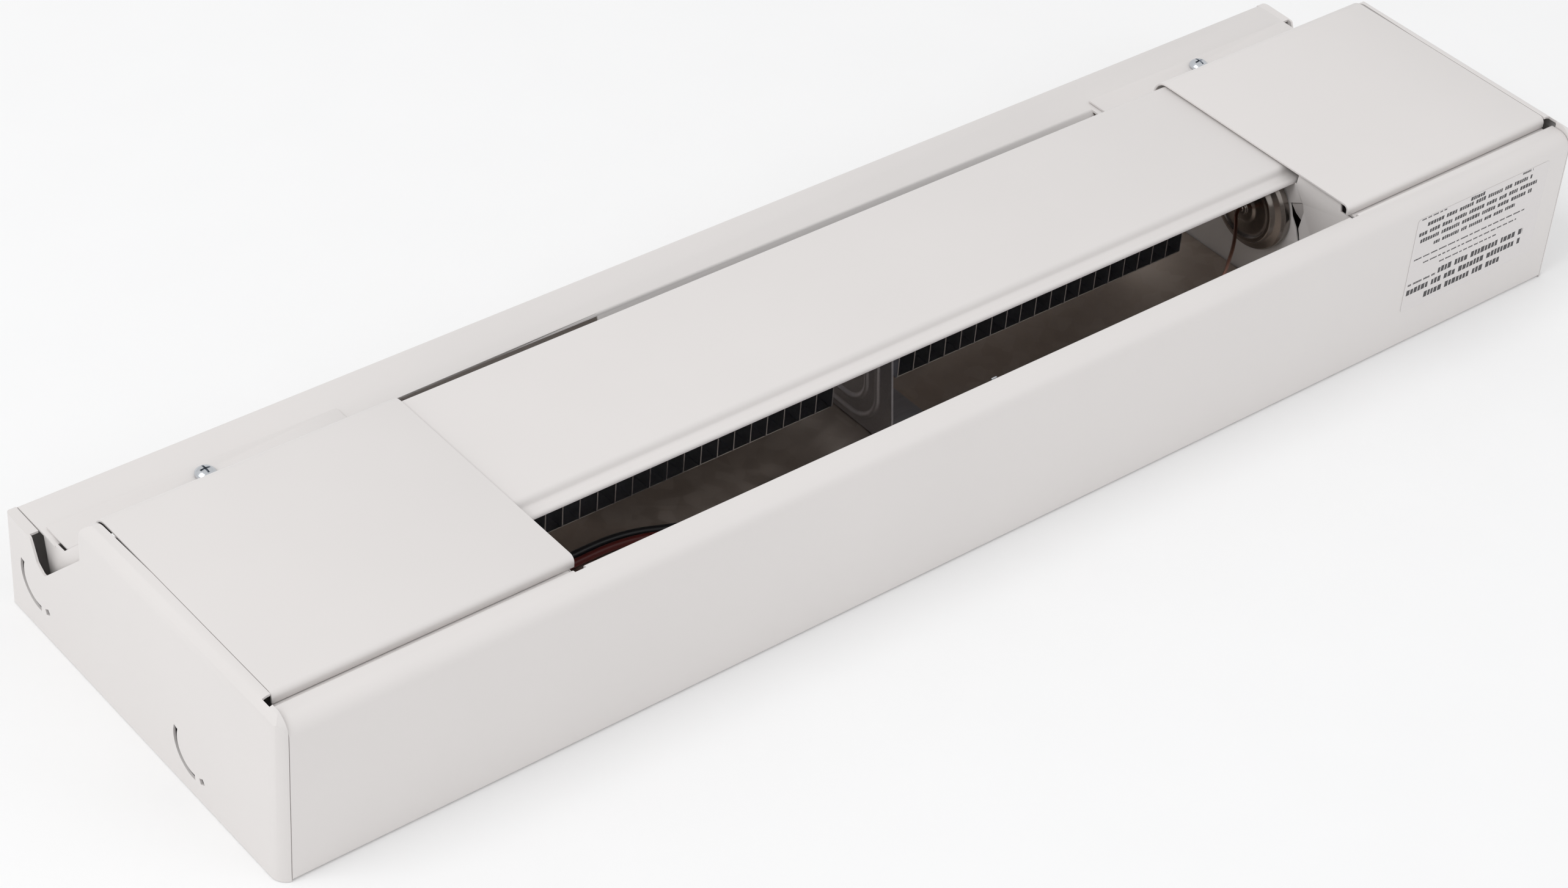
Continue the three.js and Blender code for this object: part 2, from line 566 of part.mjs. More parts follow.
// ---- wiring ---------------------------------------------------------------------------
// A wire between the junction boxes: over the reflector, then through it and along behind it.
function throughWire(side, left, right) {
  const dy = side * (WIRE_RADIUS + 0.25);
  const rest = REFLECTOR_FRONT + WIRE_RADIUS + 0.4;
  const behind = 6.1;
  const leftY = LEFT_WIRE_HOLE_Y + dy;
  const rightY = RIGHT_WIRE_HOLE_Y + dy;
  return wire([
    ...left,
    [LEFT_PARTITION_X - 12, leftY, WIRE_HOLE_Z], [LEFT_PARTITION_X + 6, leftY, WIRE_HOLE_Z],
    [LEFT_PARTITION_X + 18, leftY - 0.5, rest + 2], [LEFT_PARTITION_X + 32, leftY - 1.2, rest],
    [180, leftY - 1.6, rest], [192, leftY - 4, rest], [204, leftY - 9, rest],
    [213, leftY - 12, rest - 0.4], [219, leftY - 12.8, 11.2], [224, leftY - 13, 8],
    [231, leftY - 13, behind], [248, 58 + dy, behind], [300, 78 + dy, behind],
    [420, 114 + dy, behind], [458, 118 + dy, behind], [466, 119 + dy, 7.6], [473, 120.3 + dy, 12],
    [480, 122.4 + dy, 17.2], [RIGHT_PARTITION_X - 5, rightY - 0.6, WIRE_HOLE_Z],
    [RIGHT_PARTITION_X + 12, rightY, WIRE_HOLE_Z],
    ...right,
  ], WIRE_RADIUS, 60);
}

// A twist-on wire connector that opens towards +X, with its mouth at x.
function wireConnector(x, y, z) {
  return turned("x", y, z, [
    [2.4, x], [5.2, x], [5.4, x - 6], [4.2, x - 18], [2.2, x - 21], [0, x - 21.5],
    [0, x - 9], [2.4, x - 8], [2.4, x],
  ], 14);
}

function groundScrew(x) {
  const body = turned("z", x, 40, [
    [0, 0.1], [1.9, 0.1], [1.9, SHEET + GAP], [4.2, SHEET + GAP], [4.2, 3.2], [3, 4.2], [0, 4.4],
  ], 12);
  return body.subtract(box(x - 5, x + 5, 39.5, 40.5, 3.2, 6));
}

// ---- assembly -------------------------------------------------------------------------
const unit = new THREE.Group();

function place(name, body, material) {
  const mesh = new THREE.Mesh(geometryOf(body), material);
  mesh.name = name;
  unit.add(mesh);
}

const fromLeft = (x) => x;
const fromRight = (x) => LENGTH - x;

place("back_casing", backCasing(), paint);
place("left_end_plate", endPlate(fromLeft), paint);
place("right_end_plate", endPlate(fromRight), paint);
place("caution_label", box(519, 595, 0.04, 0.16, 17, 61.5), labelFilm);

const leftCoverEnd = COVER_START + LEFT_COVER_LENGTH;
const rightCoverEnd = LENGTH - COVER_START;
const rightCoverStart = rightCoverEnd - RIGHT_COVER_LENGTH;
place("left_junction_cover", junctionCover(COVER_START, leftCoverEnd, LEFT_SCREW_X), paint);
place("right_junction_cover", junctionCover(rightCoverStart, rightCoverEnd, RIGHT_SCREW_X), paint);
place("left_cover_screw", coverScrew(LEFT_SCREW_X), zinc);
place("right_cover_screw", coverScrew(RIGHT_SCREW_X), zinc);
place("front_panel", frontPanel(), paint);

place("rear_reflector", rearReflector(), galvanised);
place("left_partition",
  partition(LEFT_PARTITION_X, LEFT_PARTITION_X - 9, LEFT_WIRE_HOLE_Y, []), paint);
place("right_partition", rightPartition(), paint);
place("centre_bracket", centreBracket(), galvanised);

place("element_sheath", elementSheath(), darkSteel);
place("fin_pack_left", finPack(LEFT_FINS_START), aluminium);
place("fin_pack_right", finPack(RIGHT_FINS_START), aluminium);
place("element_bushing_left", elementBushing(LEFT_PARTITION_X), silicone);
place("element_bushing_centre", elementBushing(BRACKET_X), silicone);
place("element_bushing_right", elementBushing(RIGHT_PARTITION_X), silicone);
for (const [side, at] of [["left", fromLeft], ["right", fromRight]]) {
  place("element_terminal_" + side, elementTerminal(at), zinc);
  place("terminal_sleeve_" + side, terminalSleeve(at), silicone);
}

place("limit_diaphragm", limitDiaphragm(), darkSteel);
place("limit_switch_body", limitSwitchBody(), phenolic);
place("limit_capillary", capillary(), copper);
place("capillary_clip_left", wallClip(190), zinc);
place("capillary_clip_centre", lipClip(307.4), zinc);
place("capillary_clip_right", wallClip(386), zinc);

place("wire_bushing_left", wireBushing(LEFT_PARTITION_X, LEFT_WIRE_HOLE_Y), blackNylon);
place("wire_bushing_right", wireBushing(RIGHT_PARTITION_X, RIGHT_WIRE_HOLE_Y), blackNylon);
place("through_wire_black", throughWire(1,
  [[61, 60, 30], [70, 60, 30], [80, 61, 29.5], [95, 67, 25]],
  [[518, 122, 21], [532, 112, 24], [545, 95, 31], [547, 79, 38], [541, 70, 43.5], [530, LIMIT_Y + 8, LIMIT_Z]],
), blackWire);
place("through_wire_red", throughWire(-1,
  [[51, 40, 22], [60, 40, 22], [72, 43, 22], [92, 58, 22]],
  [[522, 118, 16], [545, 100, 14], [562, 62, 20], [552, 36, 30], [536, 30, 34]],
), redWire);
place("lead_wire_left", wire([
  [84, ELEMENT_Y, ELEMENT_Z], [72, ELEMENT_Y, ELEMENT_Z], [60, ELEMENT_Y + 4, ELEMENT_Z - 2],
  [52, ELEMENT_Y + 12, 34], [62, ELEMENT_Y + 18, 24], [78, ELEMENT_Y + 19, 20],
  [94, ELEMENT_Y + 14, 20], [95, ELEMENT_Y + 3, 22], [86, ELEMENT_Y - 2.5, 25.5],
  [74, ELEMENT_Y - 3, 26], [65, ELEMENT_Y - 3, 26],
], WIRE_RADIUS, 30), whiteWire);
place("lead_wire_right", wire([
  [526, ELEMENT_Y, ELEMENT_Z], [538, ELEMENT_Y, ELEMENT_Z], [549, ELEMENT_Y - 8, ELEMENT_Z + 4],
  [552, ELEMENT_Y - 22, ELEMENT_Z + 10], [551, 62, 60], [546, LIMIT_Y - 8, 57],
  [540, LIMIT_Y - 8, LIMIT_Z + 3], [530, LIMIT_Y - 8, LIMIT_Z],
], WIRE_RADIUS, 26), whiteWire);
place("wire_connector_black", wireConnector(66, 60, 30), greyNylon);
place("wire_connector_red", wireConnector(56, 40, 22), greyNylon);
place("wire_connector_lead", wireConnector(70, ELEMENT_Y - 3, 26), greyNylon);
place("ground_screw_left", groundScrew(95), greenZinc);
place("ground_screw_right", groundScrew(515), greenZinc);

const heater = new THREE.Group();
unit.position.set(-LENGTH / 2, -HEIGHT / 2, 0);
heater.add(unit);

export default heater;
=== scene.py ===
import math
import random

import bmesh
import bpy
from mathutils import Matrix, Vector


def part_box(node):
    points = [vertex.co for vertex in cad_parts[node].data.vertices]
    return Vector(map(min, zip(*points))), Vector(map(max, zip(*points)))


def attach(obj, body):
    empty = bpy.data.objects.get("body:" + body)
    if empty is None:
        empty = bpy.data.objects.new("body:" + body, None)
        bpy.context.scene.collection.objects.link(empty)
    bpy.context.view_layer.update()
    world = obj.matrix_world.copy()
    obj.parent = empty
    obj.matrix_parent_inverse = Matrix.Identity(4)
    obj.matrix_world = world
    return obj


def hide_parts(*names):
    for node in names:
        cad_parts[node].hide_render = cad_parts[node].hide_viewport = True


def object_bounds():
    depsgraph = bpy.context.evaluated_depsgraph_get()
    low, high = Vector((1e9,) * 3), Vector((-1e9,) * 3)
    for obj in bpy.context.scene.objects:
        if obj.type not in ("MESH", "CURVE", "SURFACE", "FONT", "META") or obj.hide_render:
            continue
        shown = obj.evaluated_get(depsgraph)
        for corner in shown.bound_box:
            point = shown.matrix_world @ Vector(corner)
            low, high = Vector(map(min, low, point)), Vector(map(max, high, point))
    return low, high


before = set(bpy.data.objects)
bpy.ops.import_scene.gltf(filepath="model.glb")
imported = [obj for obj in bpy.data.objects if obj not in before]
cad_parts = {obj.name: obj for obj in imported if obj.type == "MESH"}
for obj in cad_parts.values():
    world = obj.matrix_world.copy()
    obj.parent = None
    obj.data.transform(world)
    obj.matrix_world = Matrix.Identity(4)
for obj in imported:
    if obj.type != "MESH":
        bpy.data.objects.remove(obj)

CAD_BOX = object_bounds()

# The shop coordinates used below are millimetres from the heater's low left corner:
# X along the length, Y from the outlet edge to the floor edge, Z from the wall to the room.
MM = 0.001
HEIGHT = 172.8
LENGTH, DEPTH = ((CAD_BOX[1][axis] - CAD_BOX[0][axis]) / MM for axis in (0, 2))
CORNER = Vector((CAD_BOX[0].x, CAD_BOX[1].y - HEIGHT * MM, CAD_BOX[0].z))


def at(x, y, z):
    """A place in shop millimetres as a point of the frame in metres."""
    return CORNER + Vector((x, y, z)) * MM


class Span:
    """The box of a CAD node in shop millimetres."""

    def __init__(self, node):
        low, high = ((corner - CORNER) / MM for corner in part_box(node))
        self.x0, self.y0, self.z0 = low
        self.x1, self.y1, self.z1 = high
        self.x, self.y, self.z = (low + high) / 2


# ---- camera ----------------------------------------------------------------------------
# A long lens that looks down on the outlet edge from beyond the left end.
camera_data = bpy.data.cameras.new("camera")
camera_data.sensor_width = 36
camera_data.lens = 84.42
camera = bpy.data.objects.new("camera", camera_data)
bpy.context.scene.collection.objects.link(camera)
bpy.context.scene.camera = camera
look = Vector((0.52395, 0.58485, -0.61921)).normalized()
up = Vector((0.34903, 0.51572, 0.78244))
side = look.cross(up).normalized()
up = side.cross(look)
turn = Matrix((side, up, -look)).transposed().to_4x4()
camera.matrix_world = Matrix.Translation((-0.75008, -0.80723, 0.85649)) @ turn

# ---- materials -------------------------------------------------------------------------


def colour(hexa):
    """An sRGB hex value as linear RGBA."""
    channels = [int(hexa[i : i + 2], 16) / 255 for i in (1, 3, 5)]
    linear = [c / 12.92 if c <= 0.04045 else ((c + 0.055) / 1.055) ** 2.4 for c in channels]
    return (*linear, 1)


def per_mm(size):
    """The texture scale whose features are that many millimetres wide."""
    return 1 / (size * MM)


def add(tree, kind, sockets=None, **settings):
    """Adds a shader node with its settings, and fills or links its input sockets."""
    made = tree.nodes.new("ShaderNode" + kind)
    for key, value in settings.items():
        setattr(made, key, value)
    for key, value in (sockets or {}).items():
        if isinstance(value, bpy.types.NodeSocket):
            tree.links.new(value, made.inputs[key])
        else:
            made.inputs[key].default_value = value
    return made


def new_material(name):
    """An empty material with its output, as (material, tree, object coordinates)."""
    material = bpy.data.materials.new(name)
    material.use_nodes = True
    tree = material.node_tree
    tree.nodes.clear()
    place = add(tree, "TexCoord").outputs["Object"]
    return material, tree, place


def powder_coat():
    """Polyester powder coat baked on sheet steel: satin white, with a faint orange peel."""
    material, tree, place = new_material("white_powder_coat")
    cloud = add(tree, "TexNoise", {"Vector": place, "Scale": per_mm(55), "Detail": 3}).outputs["Fac"]
    tone = add(tree, "Mix", {
        "Factor": cloud, "A": colour("#dedad8"), "B": colour("#e2dedc")}, data_type="RGBA")
    gloss = add(tree, "MapRange", {"Value": cloud, "To Min": 0.36, "To Max": 0.44})
    # The sheet under the paint is never quite flat, which bends the long highlights a little.
    sheet = add(tree, "TexNoise", {"Vector": place, "Scale": per_mm(90), "Detail": 1})
    wave = add(tree, "Bump", {"Height": sheet.outputs["Fac"], "Strength": 0.12, "Distance": 0.8 * MM})
    peel = add(tree, "TexNoise", {"Vector": place, "Scale": per_mm(1.1), "Detail": 2, "Roughness": 0.4})
    bump = add(tree, "Bump", {
        "Height": peel.outputs["Fac"], "Normal": wave.outputs["Normal"],
        "Strength": 0.10, "Distance": 0.08 * MM,
    })
    coat = add(tree, "BsdfPrincipled", {
        "Base Color": tone.outputs["Result"],
        "Roughness": gloss.outputs["Result"],
        "IOR": 1.5,
        "Normal": bump.outputs["Normal"],
    })
    add(tree, "OutputMaterial", {"Surface": coat.outputs["BSDF"]})
    return material


def galvanised_steel():
    """Mill galvanised sheet: flat zinc spangles a few millimetres across, dulled by age."""
    material, tree, place = new_material("galvanised_steel")
    spangle = add(tree, "TexVoronoi", {"Vector": place, "Scale": per_mm(6), "Randomness": 1})
    shade = add(tree, "SeparateColor", {"Color": spangle.outputs["Color"]}).outputs["Red"]
    tone = add(tree, "Mix", {
        "Factor": shade, "A": colour("#c4b8ae"), "B": colour("#cdc2b9")}, data_type="RGBA")
    gloss = add(tree, "MapRange", {"Value": shade, "To Min": 0.5, "To Max": 0.58})
    grain = add(tree, "TexNoise", {"Vector": place, "Scale": per_mm(0.8), "Detail": 3})
    bump = add(tree, "Bump", {"Height": grain.outputs["Fac"], "Strength": 0.15, "Distance": 0.05 * MM})
    zinc = add(tree, "BsdfPrincipled", {
        "Base Color": tone.outputs["Result"],
        "Metallic": 1,
        "Roughness": gloss.outputs["Result"],
        "Normal": bump.outputs["Normal"],
    })
    add(tree, "OutputMaterial", {"Surface": zinc.outputs["BSDF"]})
    return material


def rolled_metal(name, first, second, low, high, grain_mm):
    """A rolled, drawn or plated metal with fine lines along the length.

    The real lines are finer than the grain here, which is as coarse as it needs to show.
    """
    material, tree, place = new_material(name)
    stretch = add(tree, "Mapping", {"Vector": place, "Scale": (0.08, 1, 1)}).outputs["Vector"]
    grain = add(tree, "TexNoise", {"Vector": stretch, "Scale": per_mm(grain_mm), "Detail": 4}).outputs["Fac"]
    tone = add(tree, "Mix", {
        "Factor": grain, "A": colour(first), "B": colour(second)}, data_type="RGBA")
    gloss = add(tree, "MapRange", {"Value": grain, "To Min": low, "To Max": high})
    bump = add(tree, "Bump", {"Height": grain, "Strength": 0.12, "Distance": 0.03 * MM})
    metal = add(tree, "BsdfPrincipled", {
        "Base Color": tone.outputs["Result"],
        "Metallic": 1,
        "Roughness": gloss.outputs["Result"],
        "Normal": bump.outputs["Normal"],
    })
    add(tree, "OutputMaterial", {"Surface": metal.outputs["BSDF"]})
    return material


def moulded(name, first, second, roughness, grain_mm):
    """A moulded, extruded or printed skin, a little uneven in tone and gloss.

    The real skin is finer than the grain here, which is as coarse as it needs to show.
    """
    material, tree, place = new_material(name)
    grain = add(tree, "TexNoise", {"Vector": place, "Scale": per_mm(grain_mm), "Detail": 3}).outputs["Fac"]
    tone = add(tree, "Mix", {
        "Factor": grain, "A": colour(first), "B": colour(second)}, data_type="RGBA")
    gloss = add(tree, "MapRange", {
        "Value": grain, "To Min": roughness - 0.05, "To Max": roughness + 0.05})
    bump = add(tree, "Bump", {"Height": grain, "Strength": 0.2, "Distance": 0.04 * MM})
    body = add(tree, "BsdfPrincipled", {
        "Base Color": tone.outputs["Result"],
        "Roughness": gloss.outputs["Result"],
        "IOR": 1.5,
        "Normal": bump.outputs["Normal"],
    })
    add(tree, "OutputMaterial", {"Surface": body.outputs["BSDF"]})
    return material


PAINT = powder_coat()
GALVANISED = galvanised_steel()
# Bright bluish plate on screws, clips and blades: sharp small highlights.
ZINC = rolled_metal("bright_zinc_plate", "#c3c7cc", "#dfe2e6", 0.16, 0.28, 0.4)
# Thin aluminium as it leaves the mill: grey, with soft streaks of light on the folds.
FIN = rolled_metal("mill_finish_fin_stock", "#b5b5b8", "#c6c6c9", 0.25, 0.4, 0.5)
# Steel that heat has darkened: brownish grey, still shiny enough to mirror what is near.
OXIDISED = rolled_metal("oxidised_steel", "#8d8681", "#a09a94", 0.2, 0.3, 0.6)
# Bare drawn tube gone brown with age: a dull copper line.
COPPER = rolled_metal("drawn_copper", "#6b4536", "#855845", 0.3, 0.42, 0.4)
# Dyed plate that marks the ground screws: green with a metal's glint.
GREEN_ZINC = rolled_metal("green_dyed_zinc", "#2f6b3a", "#47854f", 0.3, 0.42, 0.5)
# Heavier plate on the stand: pale grey and dull, so its beads show by shade alone.
BRACKET_STEEL = rolled_metal("zinc_coated_bracket", "#b4b4b9", "#c8c8cd", 0.42, 0.54, 0.8)
# Heat-proof rubber: cream and matt.
SILICONE = moulded("glass_filled_silicone", "#cfcac1", "#dad5cc", 0.6, 0.7)
# Pressed switch housing: brown-black with a half gloss.
PHENOLIC = moulded("moulded_phenolic", "#251f1c", "#312a26", 0.42, 0.9)
# Snap bushings: a plain dark ring round the wires.
BLACK_NYLON = moulded("black_nylon", "#18181a", "#232326", 0.48, 0.8)
# Twist-on connectors: mid grey, with soft light along the flutes.
GREY_NYLON = moulded("grey_polypropylene", "#868b91", "#979ca1", 0.4, 0.9)
# Extruded insulation: a red darkened by painted shade, and a near black, with a soft line of light along
# each wire.
# The red is darker than the wire's own colour: painted shade for the slot that it lies in.
RED_WIRE_PAINTED_SHADE = moulded("red_wire_insulation_painted_shade", "#5e1c18", "#6d2520", 0.42, 0.6)
BLACK_WIRE = moulded("black_wire_insulation", "#1a1a1c", "#28282b", 0.38, 0.6)
# Woven glass sleeve on the hot leads: off-white and without gloss.
WHITE_WIRE = moulded("glass_braid_insulation", "#cdc7b8", "#ded9cc", 0.7, 0.5)
# Label film: a shade off the paint and a little glossier, so its edge just shows.
FILM = moulded("printed_label_film", "#dad6d5", "#dfdbda", 0.34, 1.0)
# Ink on the film: dark grey rather than black, and flat.
INK = moulded("printing_ink", "#3a383a", "#4a484a", 0.5, 0.5)

# ---- outlines --------------------------------------------------------------------------
ARC_DEGREES = 9  # the longest step round a bend


def rounded(corners):
    """The points of a path of (a, b) or (a, b, radius) corners, each rounded to its radius."""
    points = []
    for i, corner in enumerate(corners):
        here = Vector(corner[:2])
        radius = corner[2] if len(corner) > 2 else 0
        if not radius or i in (0, len(corners) - 1):
            points.append(here)
            continue
        back = (Vector(corners[i - 1][:2]) - here).normalized()
        on = (Vector(corners[i + 1][:2]) - here).normalized()
        half = math.acos(max(-1, min(1, back.dot(on)))) / 2
        centre = here + (back + on).normalized() * radius / math.sin(half)
        start = here + back * radius / math.tan(half) - centre
        end = here + on * radius / math.tan(half) - centre
        turn = math.atan2(start.x * end.y - start.y * end.x, start.dot(end))
        steps = max(2, round(abs(math.degrees(turn)) / ARC_DEGREES))
        for k in range(steps + 1):
            angle = turn * k / steps
            cosine, sine = math.cos(angle), math.sin(angle)
            spoke = Vector((start.x * cosine - start.y * sine, start.x * sine + start.y * cosine))
            points.append(centre + spoke)
    return points


def shifted(points, distance, closed=False):
    """The points moved to their left by a distance, with mitred corners."""
    moved = []
    count = len(points)
    for i, point in enumerate(points):
        before = points[i - 1] if closed or i else None
        after = points[(i + 1) % count] if closed or i < count - 1 else None
        first = (point - before if before else after - point).normalized()
        second = (after - point if after else point - before).normalized()
        first, second = (Vector((-d.y, d.x)) for d in (first, second))
        mitre = (first + second).normalized()
        moved.append(point + mitre * distance / mitre.dot(first))
    return moved


def circle(a, b, radius, sides=48):
    """The points of a circle."""
    turns = (2 * math.pi * k / sides for k in range(sides))
    return [Vector((a + radius * math.cos(t), b + radius * math.sin(t))) for t in turns]


# ---- meshes ----------------------------------------------------------------------------
# For each axis, a point from its two places across the axis and its place along it.
PLANE = {
    "x": lambda a, b, along: at(along, a, b),
    "y": lambda a, b, along: at(a, along, b),
    "z": lambda a, b, along: at(a, b, along),
}


def mesh_object(name, bm):
    """A new object from a bmesh, with its faces turned outwards."""
    bmesh.ops.remove_doubles(bm, verts=bm.verts, dist=1e-7)
    bmesh.ops.recalc_face_normals(bm, faces=bm.faces)
    mesh = bpy.data.meshes.new(name)
    bm.to_mesh(mesh)
    bm.free()
    made = bpy.data.objects.new(name, mesh)
    bpy.context.scene.collection.objects.link(made)
    return made


def skin(bm, rings, closed=True):
    """Faces between rings of vertices."""
    for first, second in zip(rings, rings[1:]):
        count = len(first)
        for i in range(count if closed else count - 1):
            j = (i + 1) % count
            bm.faces.new((first[i], first[j], second[j], second[i]))


def capped(bm, rings):
    """Faces between rings of vertices, and one over each end."""
    skin(bm, rings)
    bm.faces.new(rings[0])
    bm.faces.new(rings[-1])


def bent_sheet(name, corners, thickness, x0, x1):
    """A sheet along X whose outer face follows the corners, with its metal on their left."""
    bm = bmesh.new()
    outer = rounded(corners)
    loop = [outer, shifted(outer, thickness)]
    ends = []
    for x in (x0, x1):
        ends.append([[bm.verts.new(PLANE["x"](p.x, p.y, x)) for p in line] for line in loop])
    for end in ends:
        skin(bm, end, closed=False)
    for side in (0, 1):
        skin(bm, [ends[0][side], ends[1][side]], closed=False)
    for i in (0, -1):
        bm.faces.new((ends[0][0][i], ends[1][0][i], ends[1][1][i], ends[0][1][i]))
    return mesh_object(name, bm)


def prism(name, axis, outline, start, end):
    """An outline pushed along an axis."""
    bm = bmesh.new()
    capped(bm, [[bm.verts.new(PLANE[axis](p.x, p.y, along)) for p in outline] for along in (start, end)])
    return mesh_object(name, bm)


def block(name, x0, x1, y0, y1, z0, z1):
    """A plain block, only used to cut with or to join to a larger piece."""
    return prism(name, "z", rounded([(x0, y0), (x1, y0), (x1, y1), (x0, y1)]), z0, z1)


def turned(name, axis, a, b, profile, sides=48, flutes=0, flute_depth=0):
    """A body turned about an axis through (a, b), from (radius, place, corner radius) points."""
    bm = bmesh.new()
    rings = []
    waves = [1 - flute_depth * (1 - math.cos(2 * math.pi * flutes * k / sides)) / 2 for k in range(sides)]
    for radius, place in rounded(profile):
        if radius < 1e-6:
            rings.append([bm.verts.new(PLANE[axis](a, b, place))])
            continue
        spokes = [(p - Vector((a, b))) * wave for p, wave in zip(circle(a, b, radius, sides), waves)]
        rings.append([bm.verts.new(PLANE[axis](a + p.x, b + p.y, place)) for p in spokes])
    for first, second in zip(rings, rings[1:]):
        if len(first) == len(second) == 1:
            continue
        if len(first) == 1 or len(second) == 1:
            tip, rim = (first, second) if len(first) == 1 else (second, first)
            for i in range(len(rim)):
                bm.faces.new((tip[0], rim[i], rim[(i + 1) % len(rim)]))
        else:
            skin(bm, [first, second])
    return mesh_object(name, bm)


def applied(piece):
    """Bakes the piece's modifiers into its mesh."""
    graph = bpy.context.evaluated_depsgraph_get()
    mesh = bpy.data.meshes.new_from_object(piece.evaluated_get(graph))
    old = piece.data
    piece.modifiers.clear()
    piece.data = mesh
    bpy.data.meshes.remove(old)
    return piece


def boolean(piece, tools, operation="DIFFERENCE"):
    """Cuts the tools from the piece, or joins them to it, and removes them."""
    for tool in tools:
        modifier = piece.modifiers.new("boolean", "BOOLEAN")
        modifier.operation = operation
        modifier.object = tool
        modifier.solver = "EXACT"
    applied(piece)
    for tool in tools:
        bpy.data.objects.remove(tool)
    return piece


def soften(piece, width=0.14, segments=2, angle=40):
    """Breaks the sharp edges, as a deburred and painted sheet has them."""
    bevel = piece.modifiers.new("bevel", "BEVEL")
    bevel.width = width * MM
    bevel.segments = segments
    bevel.limit_method = "ANGLE"
    bevel.angle_limit = math.radians(angle)
    return applied(piece)


def dress(piece, material, body, slot, *nodes, sharp=38):
    """Gives the piece its finish, and puts it on its body in place of the CAD nodes."""
    piece.data.materials.clear()
    piece.data.materials.append(material)
    if piece.type == "MESH":
        piece.data.shade_smooth()
        piece.data.set_sharp_from_angle(angle=math.radians(sharp))
    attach(piece, body)
    if nodes:
        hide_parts(*nodes)
    return piece


def smooth_path(points, per_span=8):
    """Points along a centripetal Catmull-Rom curve through the given ones."""
    points = [Vector(p) for p in points]
    first = points[0] * 2 - points[1]
    last = points[-1] * 2 - points[-2]
    chain = [first, *points, last]
    path = []
    for p0, p1, p2, p3 in zip(chain, chain[1:], chain[2:], chain[3:]):
        t0 = 0
        t1 = t0 + math.sqrt((p1 - p0).length)
        t2 = t1 + math.sqrt((p2 - p1).length)
        t3 = t2 + math.sqrt((p3 - p2).length)
        for k in range(per_span):
            t = t1 + (t2 - t1) * k / per_span
            a1 = p0.lerp(p1, (t - t0) / (t1 - t0))
            a2 = p1.lerp(p2, (t - t1) / (t2 - t1))
            a3 = p2.lerp(p3, (t - t2) / (t3 - t2))
            b1 = a1.lerp(a2, (t - t0) / (t2 - t0))
            b2 = a2.lerp(a3, (t - t1) / (t3 - t1))
            path.append(b1.lerp(b2, (t - t1) / (t2 - t1)))
    path.append(points[-1])
    return path


def wire(name, points, radius, material, body, slot, *nodes):
    """A round wire along a smooth path."""
    data = bpy.data.curves.new(name, "CURVE")
    data.dimensions = "3D"
    data.bevel_depth = radius * MM
    data.bevel_resolution = 5
    data.use_fill_caps = True
    path = smooth_path(points)
    spline = data.splines.new("POLY")
    spline.points.add(len(path) - 1)
    for point, place in zip(spline.points, path):
        point.co = (*at(*place), 1)
    spline.use_smooth = True
    made = bpy.data.objects.new(name, data)
    bpy.context.scene.collection.objects.link(made)
    return dress(made, material, body, slot, *nodes)


# ---- sheet metal -----------------------------------------------------------------------
SHEET = 0.9  # thickness of the steel
OUT = 1  # how far a cutting tool stands out of what it cuts
GAP = 0.3  # play between pieces that fit together
STRIP_FRONT = 40.2  # room side of the narrow strip along the floor edge
STRIP_EDGE = 151  # where that strip ends, towards the outlet
LIP_EDGE = 11  # where the casing's front lip ends
LIP_BACK = 66.2  # wall side of that lip
FEED_THROUGH = 7.5  # radius of the holes for the element's bushings
KNOCKOUT_RADIUS = 10.8
# The slits round a knockout, from degree to degree, with its bridges between them.
ROUND_KNOCKOUT = ((8, 172), (188, 352))
END_KNOCKOUT = ((-126, -112), (-95, 20))
# Places that the CAD nodes give.
SCREWS = {side: Span(side + "_cover_screw") for side in ("left", "right")}
CASING = Span("back_casing")
LEFT_WALL = Span("left_partition").x1 - SHEET
RIGHT_WALL = Span("right_partition").x0
BRACKET = Span("centre_bracket").x0 + 0.8
REFLECTOR = Span("rear_reflector")
ELEMENT = Span("element_sheath")
LIMIT = Span("limit_diaphragm")


def knockout(axis, a, b, arcs, start, end):
    """The thin arc-shaped tools that cut round a knockout and leave its bridges."""
    tools = []
    half_slit = 1.1
    for first, last in arcs:
        steps = max(2, round((last - first) / 6))
        angles = [math.radians(first + (last - first) * k / steps) for k in range(steps + 1)]
        rims = [
            [Vector((a + radius * math.cos(t), b + radius * math.sin(t))) for t in angles]
            for radius in (KNOCKOUT_RADIUS + half_slit, KNOCKOUT_RADIUS - half_slit)
        ]
        tools.append(prism("slit", axis, rims[0] + rims[1][::-1], start, end))
    return tools


